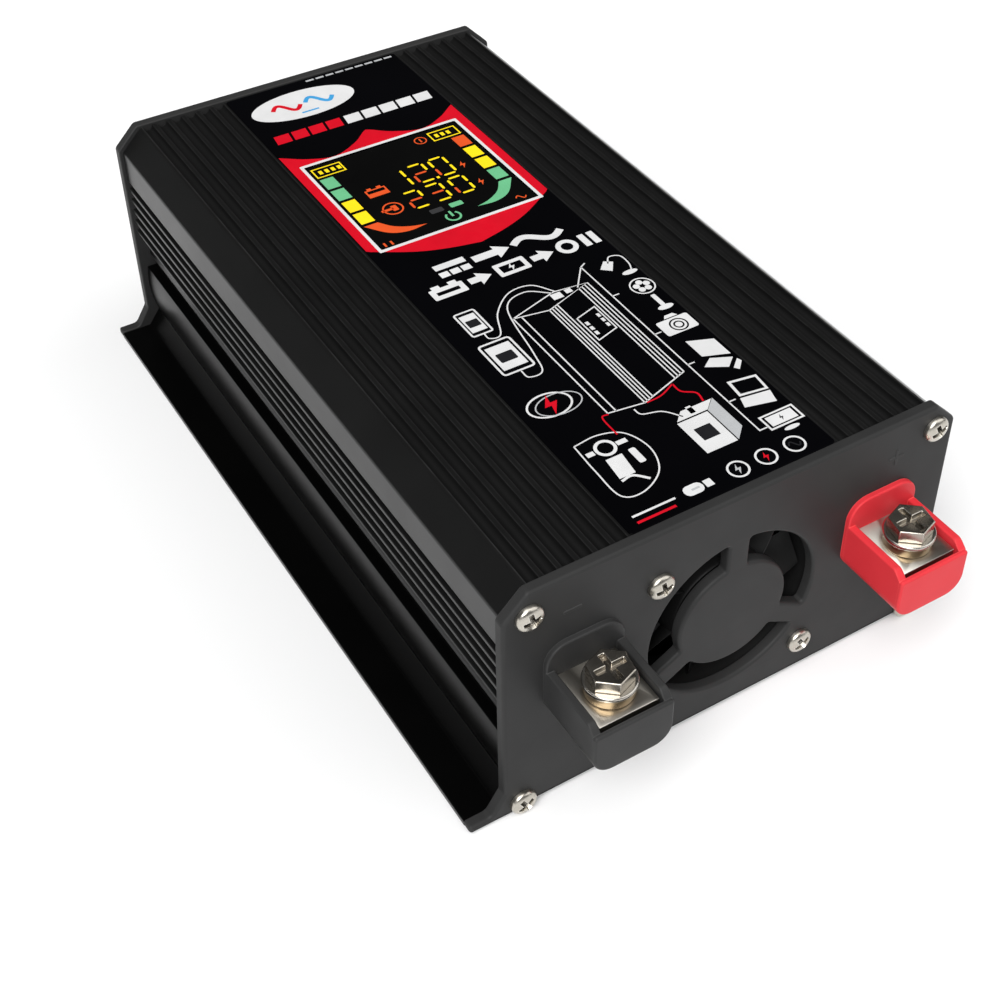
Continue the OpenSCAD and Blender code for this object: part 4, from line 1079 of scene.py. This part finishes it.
television = [frame_of(15.2, -74.8, 23.4, -70.4, 0.45), rect(16.2, -74.0, 22.4, -71.2),
              oval(19.3, -75.9, 1.8, 0.55)]
battery_box = [[[0.9, -63.6], [8.1, -63.6], [8.1, -73.5], [0.9, -73.5]],
               [[1.2, -63.2], [3.6, -60.9], [11.0, -60.9], [8.5, -63.2]], rect(5.0, -62.6, 6.2, -60.4)]
battery_side = [[8.4, -63.4], [11.3, -60.8], [11.3, -70.6], [8.4, -73.4]]
dash_rim = curve([[-19.6, -58.6], [-14.0, -58.2], [-9.2, -60.4], [-7.4, -66.5], [-9.6, -72.5],
                  [-15.2, -75.7], [-19.6, -74.4], [-19.9, -66.5], [-19.6, -58.6]])
dashboard = [stroke(dash_rim, thin), ring(-14.7, -62.0, 2.3, 0.7), rect(-19.0, -62.7, -17.3, -61.5),
             rect(-12.2, -62.7, -9.9, -61.5),
             [[-16.6, -64.9], [-12.9, -64.9], [-13.6, -70.6], [-17.2, -70.6]],
             rect(-11.4, -69.0, -9.9, -64.6, 0.4),
             stroke(curve([[-17.2, -71.3], [-14.6, -71.0], [-12.2, -73.4]]), 0.6)]
plug_sign = [rect(-21.0, -80.4, -11.4, -79.9), rect(-9.3, -81.4, -5.0, -78.7, 1.2),
             rect(-4.6, -81.0, -2.9, -79.1)]
ring_xs = (3.2, 9.8, 16.6)
ring_signs = [ring(x, ring_row, 2.3, 0.45) for x in ring_xs]
badges = [oval(sign_x, sign_y, 13.8, 6.4, 96), ring(-17.0, -45.8, 5.0, 0.45, 3.6)]
ink("white_print", white_blocks + [display_frame] + bold_row_1 + bold_row_2 + drawing + phones
    + [lamp_shade, lamp_foot] + desk_fan + camera_icon + computer + laptop + television + battery_box
    + dashboard + plug_sign + ring_signs + badges, white_ink, white_level)
ink("pale_print", model_dashes
    + [battery_side, ring(-15.2, -46.4, 5.2, 0.3, 3.2), bolt_sign(ring_xs[0], ring_row, 1.4),
       rect(-7.6, -80.3, -5.8, -79.8)], pale_ink, pale_level)

# %% Red and dark details over the white
red_details = [stroke(curve([[7.1, -53.3], [7.3, -56.0], [9.6, -58.0], [9.3, -60.7]]), 0.4),
               bolt_sign(-16.6, -45.9, 3.0),
               stroke(curve([[-0.4, -55.3], [3.2, -55.0], [7.1, -53.3]]), 0.35),
               bolt_sign(ring_xs[1], ring_row, 1.3),
               stroke(curve([[-8.8, -54.2], [-10.4, -54.6], [-10.6, -60.0]]), 0.35),
               rect(-21.0, -82.2, -12.4, -81.6), wave(-11.9, sign_y, 7.4, 1.9, 1.15)]
ink("red_details", red_details, red_ink, detail_level)
blue_ink = ink_finish("blue_ink", (0.05, 0.33, 0.66))
ink("blue_print", [wave(-3.1, sign_y, 7.4, 1.9, 1.15), rect(-9.6, 79.9, -5.0, 80.5)], blue_ink,
    detail_level)
dark_shapes = [rect(-17.9, -16.6, -15.1, -14.2, 0.2), rect(-18.2, -29.9, -14.3, -26.9, 0.3),
               rect(2.6, -70.3, 6.4, -66.6), wave(ring_xs[2], ring_row, 2.6, 0.8, 0.35),
               bolt_sign(19.3, -72.6, 0.9)]
ink("dark_details", dark_shapes, dark_ink, detail_level)

# %% [markdown]
# ## The lit display
# The display shows the battery and mains voltages in seven segments, with bars for charge and load.
# Each colour is one piece of thin lit segments over the dark lens, as on a real backlit glass. A
# segment is a hexagon; a digit is a list of which of the seven are on.

# %% Segments
SEGMENTS = {"0": "abcdef", "1": "bc", "2": "abged", "3": "abgcd"}


def segment(which, x, y, w, h, t):
    """One segment of a digit whose lower left corner is x, y: a bar with pointed ends."""
    g = t * 0.62
    flat = {"a": y + h, "g": y + h / 2, "d": y}
    if which in flat:
        v = flat[which]
        return [[x + g, v], [x + g + t / 2, v - t / 2], [x + w - g - t / 2, v - t / 2], [x + w - g, v],
                [x + w - g - t / 2, v + t / 2], [x + g + t / 2, v + t / 2]]
    u = x + (w if which in "bc" else 0)
    low = y + (h / 2 if which in "bf" else 0)
    return [[u, low + g], [u + t / 2, low + g + t / 2], [u + t / 2, low + h / 2 - g - t / 2],
            [u, low + h / 2 - g], [u - t / 2, low + h / 2 - g - t / 2], [u - t / 2, low + g + t / 2]]


digit_w, segment_t = 3.9, 0.62
digits = [("1", -5.4, 37.4, 7.6), ("2", 0.3, 37.4, 7.6), ("0", 6.0, 37.4, 7.6),
          ("2", -5.9, 28.6, 6.9), ("3", -0.2, 28.6, 6.9), ("0", 6.0, 28.6, 6.9)]
lit = [(name, segment(name, x, y, digit_w, h, segment_t))
       for digit, x, y, h in digits for name in SEGMENTS[digit]]
orange_names = "ge"
left_scale, right_scale, bar_w, bar_h = -19.4, 15.9, 3.4, 4.6
rows = [46.2 - 5.6 * i for i in range(4)]


def bar(x, i):
    """A bar of the charge or load scale."""
    return rect(x, rows[i], x + bar_w, rows[i] + bar_h)


def swoosh(s):
    """The curved foot of a scale: a crescent that tapers towards the middle."""
    top = curve([[s * 15.9, 28.4], [s * 13.6, 25.2], [s * 10.2, 23.1], [s * 6.6, 22.1]], 6)
    low = curve([[s * 6.6, 22.1], [s * 11.4, 21.7], [s * 15.6, 23.4], [s * 19.4, 28.4]], 6)
    return np.concatenate([top, low[1:]])


lens_z = window_high[2]
yellow = ink_finish("lit_yellow", (0.80, 0.60, 0.01), 0.30)
orange = ink_finish("lit_orange", (0.62, 0.075, 0.015), 0.25)
green = ink_finish("lit_green", (0.12, 0.40, 0.20), 0.25)
dim = ink_finish("dim_grey", (0.035, 0.035, 0.037))
label_boxes = [frame_of(-19.4, 51.7, -11.8, 55.8, 0.35), frame_of(11.8, 51.7, 19.3, 55.8, 0.35)]
box_signs = [rect(x + 1.6 * i, 53.0, x + 0.9 + 1.6 * i, 54.5) for x in (-18.1, 13.1)
             for i in range(4 if x < 0 else 3)]
yellow_shapes = [s for name, s in lit if name not in orange_names]
yellow_shapes += [bar(left_scale, 2), bar(left_scale, 3), bar(right_scale, 1), bar(right_scale, 2)]
ink("yellow_segments", yellow_shapes + label_boxes + box_signs + [rect(4.5, 37.0, 5.2, 37.8)], yellow,
    lens_z)
battery_sign = [frame_of(-12.8, 37.8, -7.6, 41.0, 0.4), rect(-12.0, 41.0, -10.9, 41.7),
                rect(-9.5, 41.0, -8.4, 41.7), rect(-12.4, 38.2, -8.0, 39.4)]
socket_sign = [ring(-10.3, 31.5, 2.5, 0.4), rect(-13.2, 31.1, -10.2, 31.9),
               rect(-10.6, 30.4, -9.2, 32.6, 0.3)]
ink("orange_segments", [s for name, s in lit if name in orange_names] + [bar(right_scale, 0), swoosh(-1)]
    + battery_sign + socket_sign
    + [bolt_sign(12.5, 39.2, 1.5), bolt_sign(12.5, 30.6, 1.5), ring(9.1, 53.8, 1.6, 0.3),
       rect(8.9, 53.0, 9.3, 54.6), rect(-18.9, 18.9, -18.4, 20.4), rect(-17.2, 18.9, -16.7, 20.4),
       wave(17.0, 20.2, 2.6, 0.7, 0.3)],
    orange, lens_z)
power_sign = stroke(arc(-0.1, 21.6, 1.7, 130, 410, 24), 0.5)
ink("green_segments",
    [bar(left_scale, 0), bar(left_scale, 1), bar(right_scale, 3), swoosh(1),
     rect(1.2, 24.7, 4.5, 26.4, 0.3), power_sign, rect(-0.4, 21.6, 0.2, 23.8)],
    green, lens_z)
ink("dim_segments", [rect(-3.9, 24.7, -0.6, 26.4, 0.3)], dim, lens_z)

# %% [markdown]
# ## The rear
# At the back sit the mains outlet, the rocker switch, two charging ports and two lights. All are snap-in
# parts with their own bezels. The outlet and the switch's bezel are built like the panels: plates with
# rounded edges stacked along Y, the openings cut through them. The lights are turned domes, and the
# ports keep their solids.

# %% Mains outlet
def stack(levels, y):
    """Plates one behind another along Y: each is (outline, holes, from, to, edge)."""
    return join(*[stand_up(plate(o, h, low, high, edge), y, 1) for o, h, low, high, edge in levels])


pin_long, pin_short, pin_x, earth_rise = 7.2, 5.2, 9.5, 10.5
pin_holes = [box_hole(socket_x - pin_x, socket_z, pin_long, pin_short, 0.5),
             box_hole(socket_x + pin_x, socket_z, pin_long, pin_short, 0.5),
             box_hole(socket_x, socket_z + earth_rise, pin_short, pin_long, 0.5)]
flange_hole = box_hole(socket_x, socket_z, 35.2, 35.2, 2.6)
inner_box, outer_box = box_hole(socket_x, socket_z, 33, 33, 1), box_hole(socket_x, socket_z, 35, 35, 2.5)
socket_black = finish("outlet_black", (grey(0.016), grey(0.021)), (0.30, 0.42), grain=(3200, 0.005),
                      rims=(0.4, grey(0.05)), dust=0.02)
outlet = stack([(box_hole(socket_x, socket_z, 41, 41, 3), [flange_hole], gap, 2.2, 0.6),
                (outer_box, pin_holes, 1.0, 6.0, 0.9), (inner_box, pin_holes, -14.6, 1.0, 0),
                (inner_box, (), -16.6, -14.65, 0)], rear_y)
make_piece("mains_outlet", outlet, socket_black, "root", ["ac_socket"])

# %% Rocker switch
rocker_hole = box_hole(rocker_x, rocker_z, 11.8, 19, 0.4)
bezel = stack([(box_hole(rocker_x, rocker_z, 16.8, 22.8, 1.4), [rocker_hole], gap, 2.0, 0.5),
               (box_hole(rocker_x, rocker_z, 14.2, 19.8, 0.3), [rocker_hole], -11.6, gap, 0),
               (box_hole(rocker_x, rocker_z, 14.2, 19.8, 0.3), (), -15.6, -11.65, 0)], rear_y)
make_piece("rocker_bezel", bezel, socket_black, "root", ["rocker_housing"])
pivot_y, tilt = rear_y - 2, math.radians(-10)


def tilted(shape):
    """Turns a shape made round the pivot by the rocker's resting tilt and puts it on the pivot."""
    p, faces = shape
    y = p[:, 1] * math.cos(tilt) - p[:, 2] * math.sin(tilt)
    z = p[:, 1] * math.sin(tilt) + p[:, 2] * math.cos(tilt)
    return np.column_stack([p[:, 0] + rocker_x, y + pivot_y, z + rocker_z]), faces


key_side = outline([[-3.2, -2.4, 0.3], [1.6, -8.3, 0.4]] + bow((5, -8.2), (5, 8.2), -1.2, 14)
                   + [[1.6, 8.3, 0.4], [-3.2, 2.4, 0.3]], 3)
level_points, key_faces = plate(key_side, (), -5.65, 5.65, 0.35, 0.35)
key = level_points[:, [2, 0, 1]], key_faces
pins = turned([[0, -6.9], [1.2, -6.9], [1.2, 6.9], [0, 6.9]], 24)
pins = pins[0][:, [2, 0, 1]], pins[1]
switch_red = finish("rocker_red", ((0.42, 0.012, 0.012), (0.52, 0.018, 0.016)), (0.24, 0.34),
                    grain=(3000, 0.003), rims=(0.4, (0.7, 0.08, 0.07)))
make_piece("rocker_key", tilted(join(key, pins)), switch_red, "rocker", ["rocker_button"])


def on_key(shape):
    """Lays a flat mark, drawn in X and Z, on the hollow face of the key."""
    p, faces = shape
    hollow = 5.0 - 4 * 1.2 * (0.5 + p[:, 1] / 16.4) * (0.5 - p[:, 1] / 16.4)
    return np.column_stack([p[:, 0], hollow + p[:, 2], p[:, 1]]), faces


marks = join(on_key(plate(rect(-0.35, 3.2, 0.35, 6.6), (), 0.02, 0.05)),
             on_key(plate(*ring(0, -5.0, 1.6, 0.5), 0.02, 0.05)))
make_piece("rocker_marks", tilted(marks), white_ink, "rocker", ())

# %% Status lights: domed lenses, clear green and red
def lens_finish(name, colour):
    """A coloured clear lens that glows a little."""
    material = finish(name, (tuple(c * 0.8 for c in colour), colour), (0.08, 0.14), patch=300)
    shader = material.node_tree.nodes["Principled BSDF"]
    shader.inputs["Coat Weight"].default_value = 0.6
    shader.inputs["Emission Color"].default_value = (*colour, 1)
    shader.inputs["Emission Strength"].default_value = 0.25
    return material


dome = [[0, -14.5], [2.5, -14.5], [2.5, 0.5], *arc(0, 0.5, 2.5, 8, 90, 10).tolist()]
for name, colour, (x, z) in zip(("green_light", "red_light"), ((0.03, 0.50, 0.08), (0.55, 0.02, 0.02)),
                                light_places):
    make_piece(name, shift(turned(dome, 48, "Y"), x=x, y=rear_y, z=z),
               lens_finish(name + "_lens", colour), "root", ["status_lights"])

# %% [markdown]
# ## Parts that keep their shape
# Inside are the board, the transformers, the power transistors on their heat bars and the wiring. Their
# CAD solids are right as they are, so they stay and get a finish of their own. Their faces are loose
# triangles: one small geometry-node modifier joins them and shades them smooth across gentle angles,
# and bars with machined edges get a bevel before it.

# %% Shading of kept solids
smooth_group = bpy.data.node_groups.new("join_and_smooth", "GeometryNodeTree")
smooth_group.interface.new_socket("Geometry", in_out="INPUT", socket_type="NodeSocketGeometry")
smooth_group.interface.new_socket("Geometry", in_out="OUTPUT", socket_type="NodeSocketGeometry")
shape_in, shape_out = smooth_group.nodes.new("NodeGroupInput"), smooth_group.nodes.new("NodeGroupOutput")
merged = smooth_group.nodes.new("GeometryNodeMergeByDistance")
merged.inputs["Distance"].default_value = 1e-6
smooth_faces = smooth_group.nodes.new("GeometryNodeSetShadeSmooth")
smooth_edges = smooth_group.nodes.new("GeometryNodeSetShadeSmooth")
smooth_edges.domain = "EDGE"
smooth_edges.inputs["Shade Smooth"].default_value = False
bend = smooth_group.nodes.new("GeometryNodeInputMeshEdgeAngle")
sharp = smooth_group.nodes.new("FunctionNodeCompare")
sharp.inputs["B"].default_value = SHARP
for start, end in ((shape_in.outputs[0], merged.inputs[0]), (merged.outputs[0], smooth_faces.inputs[0]),
                   (smooth_faces.outputs[0], smooth_edges.inputs[0]),
                   (bend.outputs["Unsigned Angle"], sharp.inputs["A"]),
                   (sharp.outputs[0], smooth_edges.inputs["Selection"]),
                   (smooth_edges.outputs[0], shape_out.inputs[0])):
    smooth_group.links.new(start, end)


def keep(material, *names, bevel=0.0):
    """These nodes keep their solid and take the material; bevel, in millimetres, breaks their edges."""
    for name in names:
        part = nodes[name]
        for held in part.material_slots:
            held.material = material
        if bevel:
            part.modifiers.new("weld", "WELD").merge_threshold = 1e-6
            flat = part.modifiers.new("flat", "DECIMATE")
            flat.decimate_type, flat.angle_limit = "DISSOLVE", math.radians(1)
            edge = part.modifiers.new("edge", "BEVEL")
            edge.width, edge.segments, edge.limit_method, edge.angle_limit = bevel * MM, 2, "ANGLE", SHARP
        part.modifiers.new("smooth", "NODES").node_group = smooth_group
    print("kept:", ", ".join(names))


# %% Metal parts
brass = finish("brass", ((0.62, 0.44, 0.16), (0.76, 0.56, 0.24)), (0.22, 0.36), 1.0, patch=220,
               grain=(3500, 0.004))
bronze = finish("sintered_bronze", ((0.36, 0.22, 0.10), (0.50, 0.32, 0.15)), (0.45, 0.6), 1.0, patch=900,
                grain=(9000, 0.010))
steel = finish("bright_steel", ((0.50, 0.50, 0.50), (0.62, 0.62, 0.62)), (0.18, 0.30), 1.0, patch=240,
               lines=(3000, 0.002))
aluminium = finish("bare_aluminium", ((0.70, 0.70, 0.71), (0.80, 0.80, 0.81)), (0.30, 0.44), 1.0,
                   patch=120, lines=(2600, 0.006))
copper = finish("enamelled_copper", ((0.46, 0.16, 0.06), (0.62, 0.24, 0.10)), (0.22, 0.36), 0.9,
                patch=900, grain=(2200, 0.12), Coat_Weight=0.4)
keep(busbar_nickel, "negative_busbar", "positive_busbar", bevel=0.2)
keep(brass, "terminal_nuts", "board_standoffs", "socket_contacts", "switch_terminals", bevel=0.1)
keep(steel, "fan_shaft", "clamp_bars", "usb_shells")
keep(screw_zinc, "busbar_screws", "board_screws", "clamp_screws")
keep(bronze, "fan_bearing")
keep(aluminium, "heat_bars", bevel=0.2)
keep(copper, "fan_stator", "choke_winding")

# %% Plastic, ceramic and wound parts
board_green = finish("board_green", ((0.006, 0.10, 0.035), (0.010, 0.15, 0.05)), (0.28, 0.40), patch=350,
                     grain=(900, 0.02), Coat_Weight=0.3)
ferrite = finish("ferrite", (grey(0.025), grey(0.040)), (0.55, 0.70), patch=700, grain=(6000, 0.012))
winding_tape = finish("winding_tape", ((0.58, 0.36, 0.02), (0.70, 0.46, 0.04)), (0.16, 0.28), patch=90,
                      grain=(500, 0.03))
toroid_yellow = finish("toroid_yellow", ((0.62, 0.52, 0.05), (0.74, 0.63, 0.09)), (0.36, 0.50), patch=300,
                       grain=(2500, 0.02))
sleeve = finish("capacitor_sleeve", ((0.012, 0.014, 0.045), (0.02, 0.022, 0.06)), (0.14, 0.26), patch=80,
                grain=(700, 0.01))
epoxy = finish("package_epoxy", (grey(0.012), grey(0.018)), (0.5, 0.62), patch=600, grain=(8000, 0.008))
fuse_green = finish("fuse_green", ((0.01, 0.22, 0.08), (0.02, 0.30, 0.11)), (0.12, 0.22), patch=200,
                    Coat_Weight=0.3)
film_block = finish("film_block", ((0.22, 0.02, 0.015), (0.30, 0.03, 0.02)), (0.26, 0.38), patch=150,
                    grain=(1500, 0.01))
silicone = finish("silicone_pad", ((0.28, 0.29, 0.33), (0.36, 0.37, 0.41)), (0.6, 0.75), patch=400,
                  grain=(2500, 0.02))
wire_red = finish("wire_red", ((0.45, 0.01, 0.012), (0.55, 0.016, 0.018)), (0.34, 0.46), patch=260,
                  grain=(1800, 0.01))
wire_blue = finish("wire_blue", ((0.012, 0.05, 0.30), (0.02, 0.08, 0.40)), (0.34, 0.46), patch=260,
                   grain=(1800, 0.01))
magnet = finish("magnet_rubber", ((0.045, 0.038, 0.034), (0.065, 0.055, 0.048)), (0.55, 0.7), patch=500,
                grain=(5000, 0.01))
ribbon_grey = finish("ribbon_grey", (grey(0.34), grey(0.42)), (0.4, 0.5), patch=200, grain=(1200, 0.03))
port_white = finish("port_white", (grey(0.66), grey(0.74)), (0.3, 0.42), patch=300, grain=(3000, 0.004))
keep(board_green, "main_board", "display_board", "control_board", "usb_board")
keep(ferrite, "transformer_cores", bevel=0.3)
keep(winding_tape, "transformer_windings", bevel=0.3)
keep(toroid_yellow, "choke_core")
keep(sleeve, "input_capacitors", "bulk_capacitor")
keep(epoxy, "power_transistors", "control_chips", "buzzer")
keep(fuse_green, "blade_fuses")
keep(film_block, "film_capacitor", bevel=0.5)
keep(silicone, "insulation_pads")
keep(wire_red, "control_leads")
keep(wire_blue, "socket_leads")
keep(magnet, "fan_magnet")
keep(ribbon_grey, "display_ribbon")
keep(port_white, "usb_tongues", bevel=0.15)
keep(fan_plastic, "fan_frame", bevel=0.25)
keep(lens_black, "display_module")
